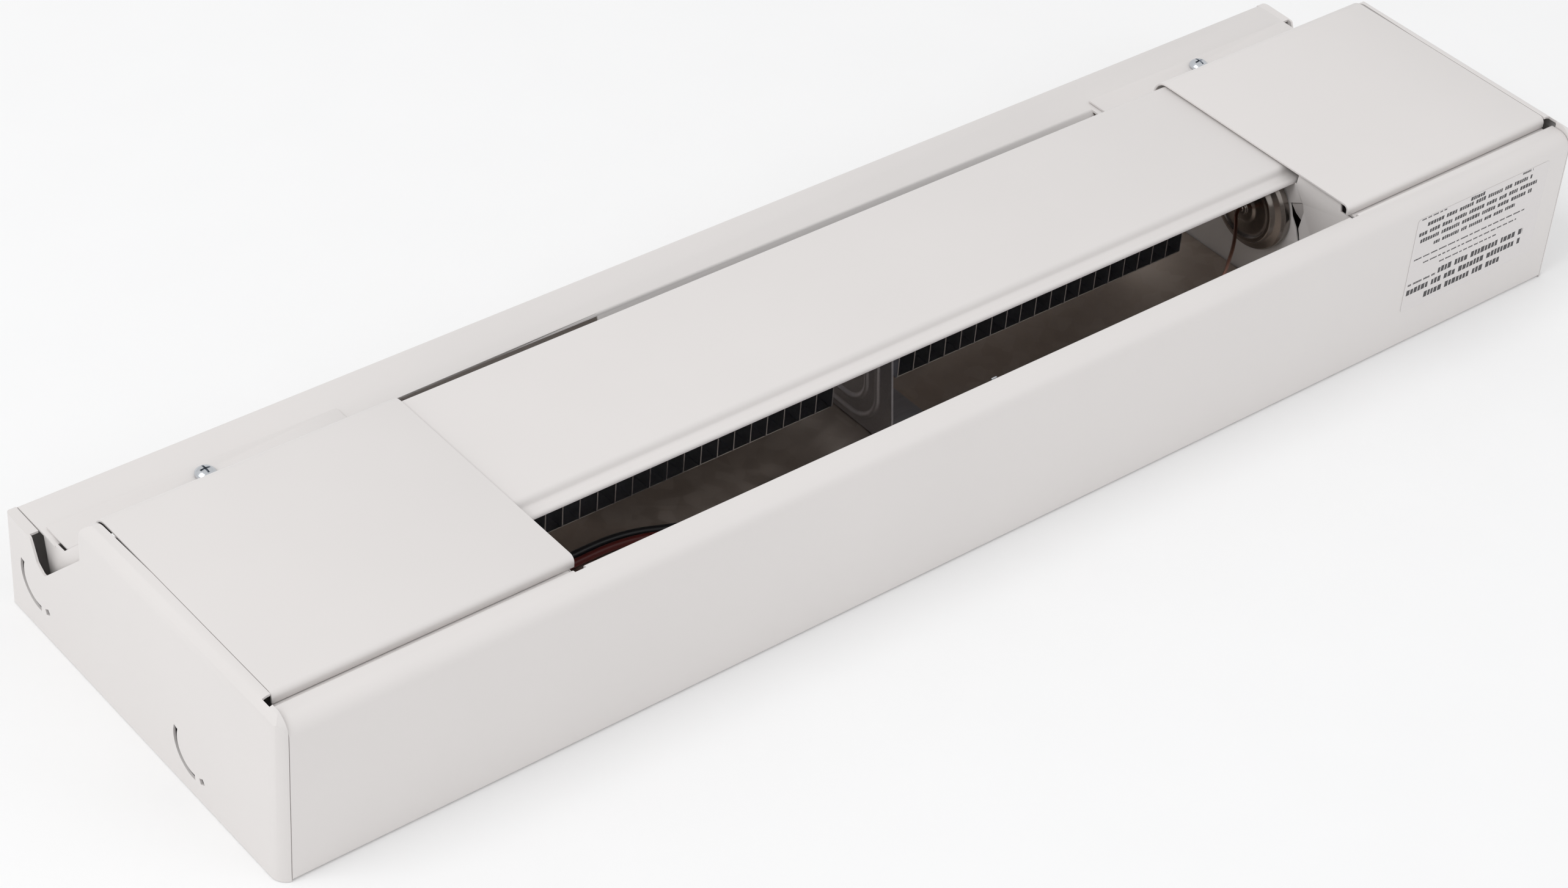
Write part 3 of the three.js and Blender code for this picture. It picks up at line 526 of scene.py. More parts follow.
def back_casing():
    """The one-piece back: long top face with a hemmed lip, wall side, floor side and strip."""
    top, floor, lip_front = CASING.y0, CASING.y1, 68.3
    slope_reach, slope_depth = 4.5, 5.2
    sheet = bent_sheet("back_casing", [
        (6.5, LIP_BACK),
        (LIP_EDGE, LIP_BACK, 1.0),
        (LIP_EDGE, lip_front, 1.0),
        (top, lip_front, 6),
        (top, 0, 1.5),
        (floor, 0, 1.5),
        (floor, STRIP_FRONT, 2),
        (STRIP_EDGE, STRIP_FRONT, 1.4),
        (STRIP_EDGE - slope_reach, STRIP_FRONT - slope_depth),
    ], SHEET, CASING.x0, CASING.x1)
    # The sloping edge runs only along the middle. Flat plates under the covers' feet take its
    # place at the ends, and a slanting edge joins it to the left one.
    slope_start, slope_end, plate_edge, plate_end = 236.5, 489, 146.5, 134
    back, overlap = STRIP_FRONT - SHEET, STRIP_EDGE + 2
    boolean(sheet, [
        block("slope_end", x0, x1, 140, overlap, back - 7, back)
        for x0, x1 in ((0, slope_start), (slope_end, LENGTH))
    ])
    slant = rounded([
        (plate_end, 149.2), (slope_start, STRIP_EDGE), (slope_start, overlap), (plate_end, overlap)])
    tab = rounded([(116, 20), (151, 22), (154.6, 40), (141.6, 40.6), (121.4, 60.4), (116, 60.4)])
    tab_inset, ledge_y0, ledge_y1 = 0.2, 7, 14.3
    boolean(sheet, [
        block("foot_plate", CASING.x0, plate_end, plate_edge, overlap, back, STRIP_FRONT),
        prism("slant", "z", slant, back, STRIP_FRONT),
        block("foot_plate", slope_end, CASING.x1, plate_edge, overlap, back, STRIP_FRONT),
        prism("tab", "x", tab, CASING.x0 + tab_inset, CASING.x0 + tab_inset + SHEET),
        prism("tab", "x", tab, CASING.x1 - tab_inset - SHEET, CASING.x1 - tab_inset),
        block("ledge", 7, 121.8, ledge_y0, ledge_y1, LIP_BACK - SHEET, LIP_BACK),
        block("ledge", 493.9, 603, ledge_y0, ledge_y1, LIP_BACK - SHEET, LIP_BACK),
    ], "UNION")
    tools = []
    for screw in SCREWS.values():
        tools.append(block(
            "screw_notch", screw.x - 2.6, screw.x + 2.6, plate_edge - OUT, screw.y + 2.4,
            back - OUT, STRIP_FRONT + OUT))
    for x0, x1 in ((121.8, 126.4), (489.4, 493.6)):
        tools.append(block("lip_relief", x0, x1, LIP_EDGE - 1.6, LIP_EDGE + OUT, 65, lip_front + OUT))
    for x in (90, 305, 520):
        for y in (45, 156):
            tools.append(prism("wall_hole", "z", circle(x, y, 3), -OUT, SHEET + OUT))
    for side in ("left", "right"):
        screw = Span("ground_screw_" + side)
        tools.append(prism("ground_hole", "z", circle(screw.x, screw.y, 2.3), -OUT, SHEET + OUT))
    for x in (45, 565):
        tools += knockout("z", x, 80, ROUND_KNOCKOUT, -OUT, SHEET + OUT)
        tools += knockout("y", x, 20, ROUND_KNOCKOUT, floor - 2, floor + OUT)
    boolean(sheet, tools)
    soften(sheet)
    dress(sheet, PAINT, "casing", "white_powder_coat", "back_casing")


def end_plate(name, inward):
    """A drawn end plate; inward turns a distance from the end into X."""
    cover_start, side_reach, edge_radius = 6.6, 4.3, 6
    front_reach = cover_start - GAP
    outline = rounded([
        (0, 0), (HEIGHT, 0), (HEIGHT, 39.9, 1), (155.4, 39.6, 1), (151.6, 31, 2), (147, 28, 2),
        (121, 53.5, 1), (121, DEPTH, 8), (0, DEPTH, 8), (0, 0),
    ])[:-1]

    def shell(inset):
        """The solid inside the plate's outer faces, moved in by a distance."""
        reach = front_reach + OUT
        radius = edge_radius - inset
        plan = rounded([
            (reach, inset), (inset, inset, radius), (inset, HEIGHT - inset, radius / 2),
            (reach, HEIGHT - inset),
        ])
        side = rounded([
            (reach, inset), (inset, inset), (inset, DEPTH - inset, radius), (reach, DEPTH - inset)])
        body = prism("shell", "x", shifted(outline, inset, closed=True), inward(inset), inward(reach))
        plan = [Vector((inward(p.x), p.y)) for p in plan]
        side = [Vector((inward(p.x), p.y)) for p in side]
        tools = [prism("plan", "z", plan, -OUT, DEPTH + OUT), prism("side", "y", side, -OUT, HEIGHT + OUT)]
        return boolean(body, tools, "INTERSECT")

    far = inward(20)
    plate = shell(0)
    # The seam beside the cover opens a little towards the floor side.
    seam = rounded([
        (inward(front_reach), 84), (inward(front_reach - 0.9), 121.2), (far, 121.2), (far, 84)])
    cuts = [shell(SHEET), prism("seam", "z", seam, 60, DEPTH + OUT)]
    for start, y0, y1, z0, z1 in (
        (side_reach, -OUT, 13, -OUT, DEPTH + OUT),
        (side_reach, 119.6, HEIGHT + OUT, -OUT, DEPTH + OUT),
        (side_reach, -OUT, HEIGHT + OUT, -OUT, 61),
        (front_reach, -OUT, HEIGHT + OUT, -OUT, DEPTH + OUT),
        (SHEET, 146, 157, 25, 45),
        (3.2, 9.2, 13.6, DEPTH - 4, DEPTH + OUT),
    ):
        cuts.append(block("trim", inward(start), far, y0, y1, z0, z1))
    boolean(plate, cuts)
    # A tongue inside the plate reaches under the casing and the cover.
    inset = 1.6
    tongue = prism("tongue", "x", shifted(outline, inset, closed=True), inward(0.5), inward(13))
    outside = inward(-OUT)
    boolean(tongue, [
        prism("hollow", "x", shifted(outline, inset + SHEET, closed=True), inward(0.4), inward(14)),
        block("trim", outside, far, 108, HEIGHT, -OUT, DEPTH),
        block("trim", outside, far, 0, 22, 58, DEPTH),
        block("trim", outside, far, 5, 108, -OUT, 6),
    ])
    web = block("web", inward(side_reach - 0.8), inward(side_reach - 0.05), -OUT, 9, 55, DEPTH + OUT)
    boolean(web, [shell(0.3)], "INTERSECT")
    boolean(plate, [tongue, web], "UNION")
    boolean(plate, [
        *knockout("x", 151.6, 21.8, END_KNOCKOUT, outside, inward(SHEET + OUT)),
        *knockout("x", 52.5, 19.2, END_KNOCKOUT, outside, inward(SHEET + OUT)),
    ])
    plate.name = name
    dress(plate, PAINT, "casing", "white_powder_coat", name)


def junction_cover(side):
    """A cover with a hook along its top edge and a stepped foot that its screw holds."""
    name = side + "_junction_cover"
    span = Span(name)
    screw = SCREWS[side]
    cover = bent_sheet(name, [
        (155.5, 41.4),
        (141.2, 41.4, 2.2),
        (121.2, 61, 3.5),
        (121.2, span.z1, 6.5),
        (span.y0, span.z1, 2.5),
        (span.y0, span.z1 - 4.4),
    ], SHEET, span.x0, span.x1)
    boolean(cover, [prism("hole", "z", circle(screw.x, screw.y, 2.4), 39, 44)])
    soften(cover)
    dress(cover, PAINT, side + "_cover", "white_powder_coat", name)


def front_panel():
    """The plain front with its stepped and rolled upper lip."""
    span = Span("front_panel")
    lip_front, lip_depth = 66.4, 1.6
    panel = bent_sheet("front_panel", [
        (span.y1, span.z0),
        (span.y1, span.z1, 1.8),
        (48.8, span.z1, 3),
        (47.2, lip_front, 1.6),
        (span.y0, lip_front, 1.5),
        (span.y0, lip_front - lip_depth),
    ], SHEET, span.x0, span.x1)
    soften(panel)
    dress(panel, PAINT, "casing", "white_powder_coat", "front_panel")


def rear_reflector():
    """The galvanised tray behind the element, with the two slots the wires pass through."""
    under = REFLECTOR.z1 - SHEET
    tray = bent_sheet("rear_reflector", [
        (20, 1.3), (30, 1.3, 1), (36, under, 2), (134, under, 2), (139, 1.3, 1), (148, 1.3),
    ], SHEET, REFLECTOR.x0, REFLECTOR.x1)
    slots = []
    for x0, x1, y0, y1 in ((209, 232, 47.4, 60.6), (459, 482, 112.5, 127.5)):
        outline = rounded([(x0 + 5, y0), (x1, y0, 4), (x1, y1, 4), (x0, y1, 4), (x0, y0, 4), (x0 + 5, y0)])
        slots.append(prism("slot", "z", outline[:-1], under - OUT, REFLECTOR.z1 + OUT))
    boolean(tray, slots)
    soften(tray)
    dress(tray, GALVANISED, "casing", "galvanised_steel", "rear_reflector")


def partition(side, x, foot_end, extra_cuts):
    """The wall between a junction box and the heated middle, with a foot on the casing."""
    name = side + "_partition"
    wire_hole = Span("wire_bushing_" + side)
    wall = prism(name, "x", rounded([
        (1.7, 1.3), (171.2, 1.3), (171.2, 38.9), (139, 38.9, 1), (119.6, 57, 1), (115.2, 61.5),
        (115.2, 68.2), (50, 68.2), (49, 64.7), (41.6, 64.7), (41, 69.2), (18.4, 69.2), (17.6, 65.4),
        (6, 65.4, 1), (1.7, 60.5),
    ]), x, x + SHEET)
    boolean(wall, [block("foot", x + SHEET / 2, foot_end, 24, 145, 1.3, 1.3 + SHEET)], "UNION")
    boolean(wall, [
        prism("hole", "x", circle(ELEMENT.y, ELEMENT.z, FEED_THROUGH), x - OUT, x + SHEET + OUT),
        prism("hole", "x", circle(wire_hole.y, wire_hole.z, 6), x - OUT, x + SHEET + OUT),
        *extra_cuts,
    ])
    soften(wall)
    dress(wall, PAINT, "casing", "white_powder_coat", name)


def right_partition():
    """The wall that carries the limit control, with a lanced tongue beside it."""
    x = RIGHT_WALL
    lance = rounded([
        (43, 55.2), (36.6, 58.6, 0.6), (35.4, 54.8, 1), (36.6, 46.6, 1), (34.8, 41), (36, 40.6),
        (38, 45.6, 1), (41, 49.6, 1), (43, 55.2),
    ])[:-1]
    partition("right", x, x + 10, [
        prism("hole", "x", circle(LIMIT.y, LIMIT.z, 14), x - OUT, x + SHEET + OUT),
        prism("lance", "x", lance, x - OUT, x + SHEET + OUT),
    ])
    bm = bmesh.new()
    hinge = [(42.6, 55.0, 1.2), (36.8, 58.0, 1.2)]
    tip = [(41.6, 50.2, 3.4), (36.0, 53.0, 3.4)]
    end = [(38.6, 46.6, 5.0), (36.6, 47.4, 5.0)]
    rows = []
    for pair in (hinge, tip, end):
        rows.append([bm.verts.new(at(x + depth, y, z)) for y, z, depth in pair])
    skin(bm, rows, closed=False)
    tongue = mesh_object("lanced_tongue", bm)
    solid = tongue.modifiers.new("sheet", "SOLIDIFY")
    solid.thickness = 0.5 * MM
    applied(tongue)
    dress(tongue, PAINT, "casing", "white_powder_coat")


def pressed_bead(path, half_width, height, face):
    """A half-round ridge pressed towards -X along a path in the plane at X = face."""
    points = rounded(path)
    left = shifted(points, 1)
    bm = bmesh.new()
    rings = []
    for point, beside in zip(points, left):
        across = beside - point
        ring = []
        for k in range(11):
            u = -1 + k / 5
            spot = point + across * u * half_width
            rise = height * (1 + math.cos(math.pi * u)) / 2
            ring.append(bm.verts.new(at(face - rise - 0.01, spot.x, spot.y)))
        for u in (1, -1):
            spot = point + across * u * half_width
            ring.append(bm.verts.new(at(face + 0.3, spot.x, spot.y)))
        rings.append(ring)
    capped(bm, rings)
    return mesh_object("bead", bm)


def centre_bracket():
    """The zinc-coated stand in the middle, with two pressed beads and a wide foot."""
    x = BRACKET
    half_width, height = 1.7, 0.75
    wall = prism("centre_bracket", "x", rounded([
        (51.5, 12.4), (121, 12.4), (118.5, 56, 3), (113, 64.5, 3), (64, 64.5, 3), (57, 56, 3), (51.5, 12.4),
    ])[:-1], x, x + SHEET)
    foot = block("foot", x + SHEET / 2, x + 24.2, 58, 116, 12.4, 12.4 + SHEET)
    boolean(wall, [
        foot,
        pressed_bead([(64.4, 54), (60.4, 15.6, 13), (113, 15.6, 13), (110.6, 54)], half_width, height, x),
        pressed_bead([(71, 54), (66.8, 21.8, 10), (106.4, 21.8, 10), (104.2, 54)], half_width, height, x),
    ], "UNION")
    boolean(wall, [prism("hole", "x", circle(ELEMENT.y, ELEMENT.z, FEED_THROUGH), x - 3, x + 3)])
    dress(wall, BRACKET_STEEL, "casing", "galvanised_steel", "centre_bracket")


back_casing()
end_plate("left_end_plate", lambda distance: distance)
end_plate("right_end_plate", lambda distance: LENGTH - distance)
for side in ("left", "right"):
    junction_cover(side)
front_panel()
rear_reflector()
partition("left", LEFT_WALL, LEFT_WALL - 9, [])
right_partition()
centre_bracket()

# ---- screws and label ------------------------------------------------------------------


def cover_screw(side):
    """A zinc pan-head screw with a cross recess, captive in its cover."""
    name = side + "_cover_screw"
    span = Span(name)
    seat = span.z1 - 2.8
    screw = turned(name, "z", span.x, span.y, [
        (0, 35), (1.6, 35.6), (1.9, 36.4), (1.9, seat), (4, seat, 0.3), (4, seat + 1.1, 1.2),
        (2.4, span.z1 - 0.25, 3), (0, span.z1),
    ], 64)
    arms = []
    for long, short in ((2.3, 0.42), (0.42, 2.3)):
        arm = rounded([(-long, -short), (long, -short), (long, short), (-long, short)])
        bm = bmesh.new()
        rings = []
        for z, scale in ((span.z1 + 0.6, 1.15), (span.z1 - 1.7, 0.5)):
            across = max(scale, 0.8)
            rings.append([bm.verts.new(at(span.x + p.x * scale, span.y + p.y * across, z)) for p in arm])
        capped(bm, rings)
        arms.append(mesh_object("recess", bm))
    boolean(screw, arms)
    dress(screw, ZINC, side + "_cover", "zinc_plate", name)


def ground_screw(side):
    """A green slotted hexagon screw with a washer face."""
    name = "ground_screw_" + side
    span = Span(name)
    screw = turned(name, "z", span.x, span.y, [
        (0, 0.1), (1.9, 0.1), (1.9, 1.2), (4.2, 1.2, 0.2), (4.2, 1.7, 0.3), (3.3, 1.9), (0, 1.9)])
    head = turned("head", "z", span.x, span.y, [
        (0, 1.5), (3.6, 1.5), (3.6, 3.9, 0.4), (2.9, span.z1, 0.6), (0, span.z1)], 6)
    boolean(screw, [head], "UNION")
    boolean(screw, [block("slot", span.x - 5, span.x + 5, span.y - 0.5, span.y + 0.5, 3.3, 6)])
    soften(screw, 0.08)
    dress(screw, GREEN_ZINC, "casing", "green_zinc", name)


def ink_words(label, words):
    """Flat bars of ink that stand in for the rows of words on the label."""
    bm = bmesh.new()
    low, high = label.y0, label.y0 + 0.05
    for x0, x1, z0, z1 in words:
        corners = [(x0, z0), (x1, z0), (x1, z1), (x0, z1)]
        capped(bm, [[bm.verts.new(at(x, y, z)) for x, z in corners] for y in (low, high)])
    ink = mesh_object("caution_words", bm)
    dress(ink, INK, "casing", "label_film")


def caution_label():
    """The thin film label near the right end, with plain bars where its words would be."""
    span = Span("caution_label")
    x0, x1, z0, z1 = span.x0, span.x1, span.z0, span.z1
    film = prism("caution_label", "y", rounded([
        (x0 + 9, z0), (x1, z0, 1.5), (x1, z1, 1.5), (x0, z1, 1.5), (x0, z0, 1.5), (x0 + 9, z0),
    ])[:-1], span.y0 + 0.03, span.y1)
    dress(film, FILM, "casing", "label_film", "caution_label")
    draw = random.Random(7)
    words = []
    # Each row's middle, the height of its letters, and where it starts and ends.
    for z, size, start, end in (
        (60.9, 0.7, 521, 535), (60.1, 1.8, 549, 557), (60.8, 1, 579, 585), (57.5, 1.9, 525, 585.5),
        (53.7, 1.9, 521, 589), (50.2, 1.9, 522.5, 587), (46.5, 1.7, 531, 578), (41.6, 0.7, 521, 585),
        (38.4, 0.7, 527, 581), (35.1, 0.7, 537, 570), (29.6, 1, 520.5, 536), (30.6, 2.8, 537.5, 587),
        (26, 2.8, 520.5, 586.5), (21.2, 2.8, 531.5, 576),
    ):
        x = start
        while x < end:
            for _ in range(draw.randint(3, 8)):
                wide = size * draw.uniform(0.4, 0.75)
                tall = size * draw.uniform(0.85, 1)
                words.append((x, min(x + wide, end), z - size / 2, z - size / 2 + tall))
                x += wide + size * 0.18
                if x >= end:
                    break
            x += size * 0.4 + 0.5
    ink_words(span, words)


for side in ("left", "right"):
    cover_screw(side)
    ground_screw(side)
caution_label()

# ---- heating element -------------------------------------------------------------------


def element_sheath():
    """The steel-sheathed rod, swaged down a little at both ends."""
    rod = turned("element_sheath", "x", ELEMENT.y, ELEMENT.z, [
        (0, ELEMENT.x0), (3.5, ELEMENT.x0, 0.4), (3.5, ELEMENT.x0 + 5, 2), (4, ELEMENT.x0 + 8, 2),
        (4, ELEMENT.x1 - 8, 2), (3.5, ELEMENT.x1 - 5, 2), (3.5, ELEMENT.x1, 0.4), (0, ELEMENT.x1),
    ])
    dress(rod, OXIDISED, "element", "heated_steel", "element_sheath")


def fin_pack(name):
    """Thin fins with drawn collars, pressed on the sheath at an even pitch."""
    span = Span(name)
    pitch, thick, count = 7.7, 0.45, 20
    draw = random.Random(name)
    bm = bmesh.new()
    corners = [(span.y0 + 9, span.z0), (span.y1, span.z0, 1.5), (span.y1, span.z1, 1.5),
               (span.y0, span.z1, 1.5), (span.y0, span.z0, 1.5), (span.y0 + 9, span.z0)]
    outline = rounded(corners)[:-1]
    for k in range(count):
        x = span.x0 + 0.07 + k * pitch
        lean = [draw.uniform(-0.1, 0.25) if 0 < k < count - 1 else 0 for _ in range(2)]
        rims = []
        for side in (0, thick):
            rim = []
            for p in outline:
                away = (p.x - ELEMENT.y) / 22 * lean[0] + (p.y - ELEMENT.z) / 19 * lean[1]
                rim.append(bm.verts.new(at(x + side + away, p.x, p.y)))
            rims.append(rim)
        capped(bm, rims)
        if k == count - 1:
            continue
        # Folded edges on the wall side and the room side reach almost to the next fin.
        for z, fold in ((span.z0, thick), (span.z1, -thick)):
            edge = rounded([(x, z), (x + 7.6, z), (x + 7.6, z + fold), (x, z + fold)])
            ends = (span.y0 + 0.7, span.y1 - 0.7)
            capped(bm, [[bm.verts.new(at(p.x, y, p.y)) for p in edge] for y in ends])
    fins = mesh_object(name, bm)
    collars = []
    for k in range(count):
        x = span.x0 + k * pitch
        long = pitch - 0.6 if k < count - 1 else 0.5
        collars.append([(4.3, x), (5.9, x), (5.2, x + 0.9, 0.5), (4.9, x + long), (4.3, x + long)])
    bm = bmesh.new()
    bm.from_mesh(fins.data)
    for profile in collars:
        rings = []
        for radius, place in (tuple(p) for p in rounded(profile)):
            rim = circle(ELEMENT.y, ELEMENT.z, radius, 24)
            rings.append([bm.verts.new(at(place, p.x, p.y)) for p in rim])
        skin(bm, [*rings, rings[0]])
    bm.to_mesh(fins.data)
    bm.free()
    dress(fins, FIN, "element", "fin_aluminium", name)


def bushing(name, x, bore, neck, flange, cheek, material, slot, body="casing"):
    """A grooved bushing that is snapped into a hole in the sheet at x."""
    span = Span(name)
    sleeve = turned(name, "x", span.y, span.z, [
        (bore, x - cheek + 0.4), (bore + 0.4, x - cheek), (flange, x - cheek, 0.8), (flange, x - GAP, 0.2),
        (neck, x - GAP), (neck, x + SHEET + GAP), (flange, x + SHEET + GAP, 0.2),
        (flange, x + SHEET + cheek, 0.8), (bore + 0.4, x + SHEET + cheek), (bore, x + SHEET + cheek - 0.4),
        (bore, x - cheek + 0.4),
    ])
    dress(sleeve, material, body, slot, name)


def terminal(side, inward):
    """The terminal pin of one end, with its collar and a silicone sleeve over the joint."""
    name = "element_terminal_" + side
    pin = turned(name, "x", ELEMENT.y, ELEMENT.z, [
        (0, inward(99.7)), (3, inward(99.7), 0.3), (3, inward(97.5), 0.3), (1.6, inward(97.5)),
        (1.6, inward(86.4)), (1.2, inward(86)), (0, inward(86)),
    ], 32)
    dress(pin, ZINC, "element", "zinc_plate", name)
    name = "terminal_sleeve_" + side
    sleeve = turned(name, "x", ELEMENT.y, ELEMENT.z, [
        (2.3, inward(76)), (3.3, inward(76), 0.3), (3.6, inward(79), 1), (3.6, inward(93), 1),
        (3.4, inward(96), 0.3), (2.3, inward(96)), (2.3, inward(76)),
    ], 32)
    dress(sleeve, SILICONE, "element", "silicone_rubber", name)


element_sheath()
for side in ("left", "right"):
    fin_pack("fin_pack_" + side)
for side, x in (("left", LEFT_WALL), ("centre", BRACKET), ("right", RIGHT_WALL)):
    bushing("element_bushing_" + side, x, 4.3, 7.2, 9.3, 2.2, SILICONE, "silicone_rubber")
terminal("left", lambda distance: distance)
terminal("right", lambda distance: LENGTH - distance)

# ---- limit control ---------------------------------------------------------------------


def limit_diaphragm():
    """The flat steel capsule of the limit control, with its crimped rim and tube fitting."""
    x = RIGHT_WALL
    capsule = turned("limit_diaphragm", "x", LIMIT.y, LIMIT.z, [
        (0, x - 9.4), (1.4, x - 9.4, 0.4), (1.6, x - 8.9), (2.7, x - 8.9, 0.4), (2.9, x - 7.9, 0.3),
        (5.2, x - 7.7, 1), (6.6, x - 7.0, 2), (11.8, x - 6.4, 3), (13, x - 7.3, 0.8), (14.6, x - 7.3, 0.8),
        (15.4, x - 5.6, 1.2), (18.2, x - 4.6, 0.8), (19, x - 3.4, 0.8), (19, x - 0.7, 0.4), (13.4, x - 0.7),
        (13.4, x + 2), (0, x + 2),
    ], 96)
    dress(capsule, OXIDISED, "casing", "heated_steel", "limit_diaphragm")


def limit_switch_body():
    """The moulded switch behind the partition, with its two push-on blades."""
    x = RIGHT_WALL + 2.3
    y, z, half = LIMIT.y, LIMIT.z, 16
    body = prism("limit_switch_body", "x", rounded([
        (y, z - half), (y + half, z - half, 3), (y + half, z + half, 3), (y - half, z + half, 3),
        (y - half, z - half, 3), (y, z - half),
    ])[:-1], x, x + 22)
    soften(body, 0.6, 3, 60)
    dress(body, PHENOLIC, "casing", "phenolic", "limit_switch_body")
    for blade_y in (y - 8, y + 8):
        blade = prism("switch_blade", "z", rounded([
            (x + 21, blade_y - 3.1), (x + 28.4, blade_y - 3.1), (x + 30, blade_y - 2, 0.3),
            (x + 30, blade_y + 2, 0.3), (x + 28.4, blade_y + 3.1), (x + 21, blade_y + 3.1),
        ]), z - 0.4, z + 0.4)
        boolean(blade, [prism("hole", "z", circle(x + 26.5, blade_y, 0.9), z - OUT, z + OUT)])
        dress(blade, ZINC, "casing", "phenolic")


def clip(name, corners):
    """A narrow spring clip bent from thin strip."""
    span = Span(name)
    strip = bent_sheet(name, corners, 0.5, span.x0, span.x1)
    soften(strip, 0.1)
    dress(strip, ZINC, "casing", "zinc_plate", name)


limit_diaphragm()
limit_switch_body()
TUBE_Y, TUBE_Z = 8, 62.5
wire("limit_capillary", [
    (482.6, LIMIT.y, LIMIT.z), (478.6, 57, 46.4), (473.9, 52.4, 46.6), (468.1, 47.1, 47.6),
    (460.7, 40.7, 50), (452.3, 33.9, 53), (442, 26, 57), (432.9, 19.1, 60), (424, 13.6, 62),
    (416, 10.2, TUBE_Z), (404, TUBE_Y, TUBE_Z), (380, TUBE_Y, TUBE_Z), (260, TUBE_Y, TUBE_Z),
    (136, TUBE_Y, TUBE_Z),
], 0.75, COPPER, "casing", "copper_tube", "limit_capillary")
CRADLE = 60.9
clip("capillary_clip_centre", [(5.4, CRADLE), (11.8, CRADLE, 0.8), (11.8, 67.9)])
for side in ("left", "right"):
    clip("capillary_clip_" + side, [(2, 52), (2, CRADLE, 0.8), (10, CRADLE, 0.8), (10, CRADLE + 3.2)])

# ---- wiring ----------------------------------------------------------------------------
WIRE_RADIUS = 1.6


def through_wire(colour_name, side, material, left, right):
    """A wire between the junction boxes: over the reflector, through it and along behind it."""
    dy = side * (WIRE_RADIUS + 0.25)
    tray_front, behind = 12, 6.1
    rest = tray_front + WIRE_RADIUS + 0.4
    holes = [Span("wire_bushing_left"), Span("wire_bushing_right")]
    left_y, right_y, z = holes[0].y + dy, holes[1].y + dy, holes[0].z
    name = "through_wire_" + colour_name
    wire(name, [
        *left,
        (LEFT_WALL - 12, left_y, z), (LEFT_WALL + 6, left_y, z),
        (LEFT_WALL + 18, left_y - 0.5, rest + 2), (LEFT_WALL + 32, left_y - 1.2, rest),
        (180, left_y - 1.6, rest), (192, left_y - 4, rest), (204, left_y - 9, rest),
        (213, left_y - 12, rest - 0.4), (219, left_y - 12.8, 11.2), (224, left_y - 13, 8),
        (231, left_y - 13, behind), (248, 58 + dy, behind), (300, 78 + dy, behind),
        (420, 114 + dy, behind), (458, 118 + dy, behind), (466, 119 + dy, 7.6), (473, 120.3 + dy, 12),
        (480, 122.4 + dy, 17.2), (RIGHT_WALL - 5, right_y - 0.6, z), (RIGHT_WALL + 12, right_y, z),
        *right,
    ], WIRE_RADIUS, material, "casing", colour_name + "_wire", name)


def wire_connector(name):
    """A twist-on connector with grip flutes, open towards +X."""
    span = Span(name)
    x = span.x1
    cap = turned(name, "x", span.y, span.z, [
        (2.4, x - 0.2), (2.8, x), (5, x, 0.4), (5.3, x - 2, 0.5), (4.9, x - 2.8, 0.5), (5.4, x - 6, 1),
        (4.2, x - 18, 3), (2.2, x - 21, 1), (0, x - 21.5), (0, x - 9), (2.4, x - 8), (2.4, x - 0.2),
    ], 72, flutes=12, flute_depth=0.07)
    dress(cap, GREY_NYLON, "casing", "grey_nylon", name)


through_wire("black", 1, BLACK_WIRE, [(61, 60, 30), (70, 60, 30), (80, 61, 29.5), (95, 67, 25)], [
    (518, 122, 21), (532, 112, 24), (545, 95, 31), (547, 79, 38), (541, 70, 43.5),
    (530, LIMIT.y + 8, LIMIT.z)])
through_wire("red", -1, RED_WIRE_PAINTED_SHADE, [(51, 40, 22), (60, 40, 22), (72, 43, 22), (92, 58, 22)], [
    (522, 118, 16), (545, 100, 14), (562, 62, 20), (552, 36, 30), (536, 30, 34)])
EY, EZ = ELEMENT.y, ELEMENT.z
wire("lead_wire_left", [
    (84, EY, EZ), (72, EY, EZ), (60, EY + 4, EZ - 2), (52, EY + 12, 34), (62, EY + 18, 24),
    (78, EY + 19, 20), (94, EY + 14, 20), (95, EY + 3, 22), (86, EY - 2.5, 25.5), (74, EY - 3, 26),
    (65, EY - 3, 26),
], WIRE_RADIUS, WHITE_WIRE, "casing", "white_wire", "lead_wire_left")
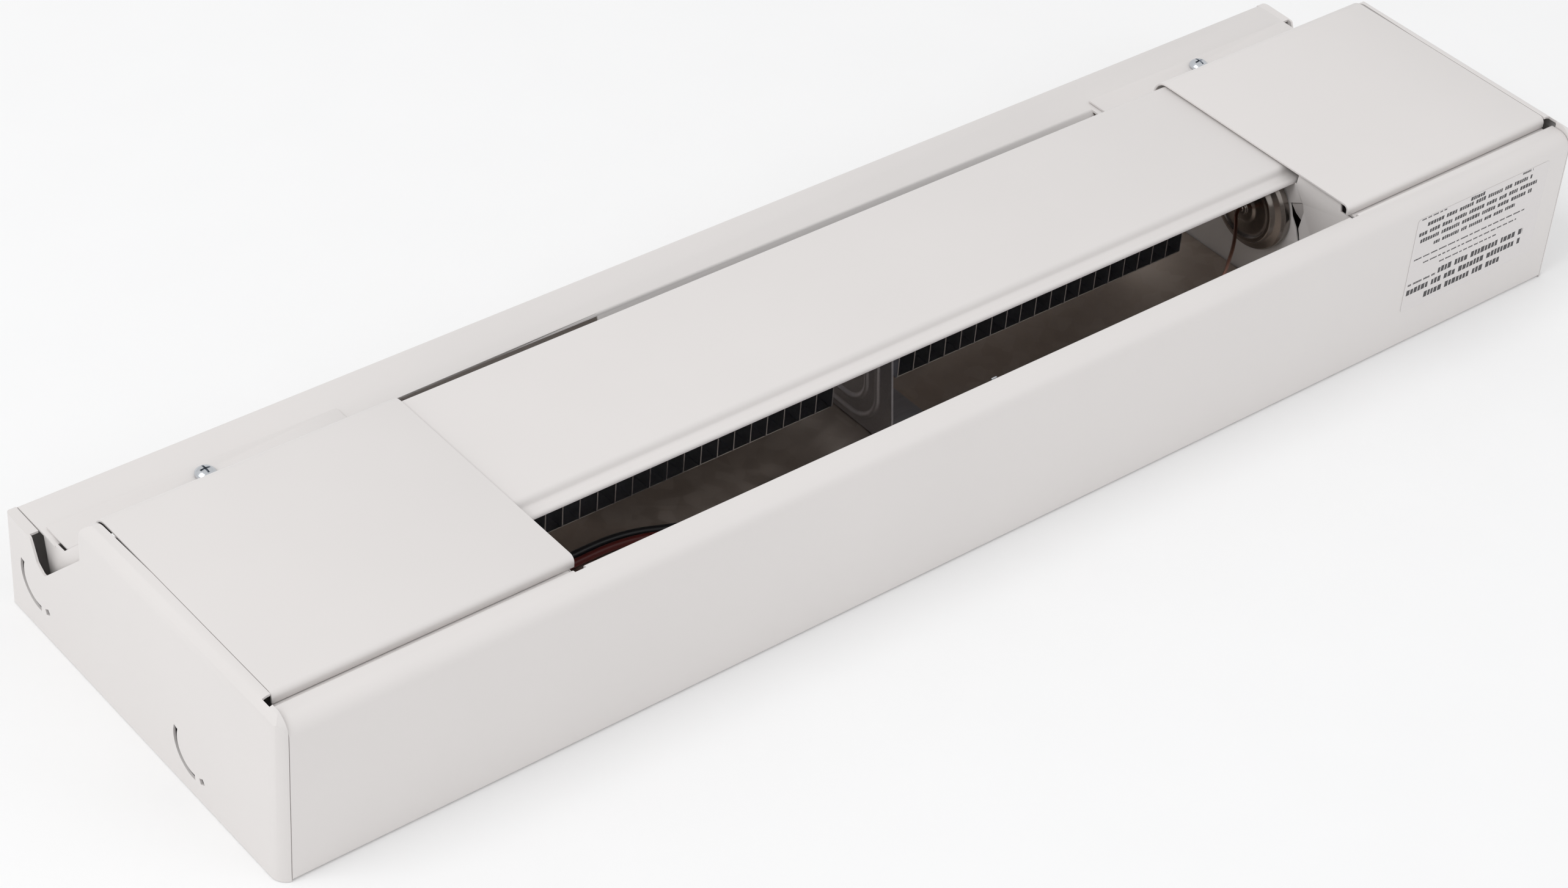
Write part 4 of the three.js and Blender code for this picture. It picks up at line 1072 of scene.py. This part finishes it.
wire("lead_wire_right", [
    (526, EY, EZ), (538, EY, EZ), (549, EY - 8, EZ + 4), (552, EY - 22, EZ + 10), (551, 62, 60),
    (546, LIMIT.y - 8, 57), (540, LIMIT.y - 8, LIMIT.z + 3), (530, LIMIT.y - 8, LIMIT.z),
], WIRE_RADIUS, WHITE_WIRE, "casing", "white_wire", "lead_wire_right")
for name in ("red", "black", "lead"):
    wire_connector("wire_connector_" + name)
for side, x in (("left", LEFT_WALL), ("right", RIGHT_WALL)):
    bushing("wire_bushing_" + side, x, 4.2, 5.7, 7.2, 1.8, BLACK_NYLON, "black_nylon")

# ---- floor and light -------------------------------------------------------------------


def floor():
    """A plain pale floor that the heater lies on."""
    material, tree, place = new_material("pale_floor")
    grain = add(tree, "TexNoise", {"Vector": place, "Scale": per_mm(40), "Detail": 2}).outputs["Fac"]
    tone = add(tree, "Mix", {
        "Factor": grain, "A": colour("#f7f7f7"), "B": colour("#f9f9f9")}, data_type="RGBA")
    paper = add(tree, "BsdfPrincipled", {"Base Color": tone.outputs["Result"], "Roughness": 0.9})
    add(tree, "OutputMaterial", {"Surface": paper.outputs["BSDF"]})
    bm = bmesh.new()
    bmesh.ops.create_grid(bm, x_segments=1, y_segments=1, size=6)
    made = mesh_object("floor", bm)
    made.location.z = CORNER.z - 0.0002
    made.data.materials.append(material)


def softbox(name, place, size, power, tint):
    """A large square area light aimed at the heater's middle."""
    data = bpy.data.lights.new(name, "AREA")
    data.shape = "SQUARE"
    data.size = size
    data.energy = power
    data.color = colour(tint)[:3]
    lamp = bpy.data.objects.new(name, data)
    bpy.context.scene.collection.objects.link(lamp)
    lamp.location = place
    lamp.rotation_mode = "QUATERNION"
    lamp.rotation_quaternion = (Vector((0, 0, 0.03)) - Vector(place)).to_track_quat("-Z", "Y")


def sky(strength):
    """Even white light from all round."""
    world = bpy.data.worlds.new("studio")
    world.use_nodes = True
    background = world.node_tree.nodes["Background"]
    background.inputs["Color"].default_value = colour("#ffffff")
    background.inputs["Strength"].default_value = strength
    bpy.context.scene.world = world


floor()
sky(0.75)
softbox("key", (-2.1, 0.15, 2.75), 1.9, 36.5, "#fdfeff")
softbox("fill", (0.9, -1.4, 1.2), 1.4, 3.5, "#f8faff")
bpy.context.scene.view_settings.view_transform = "Standard"
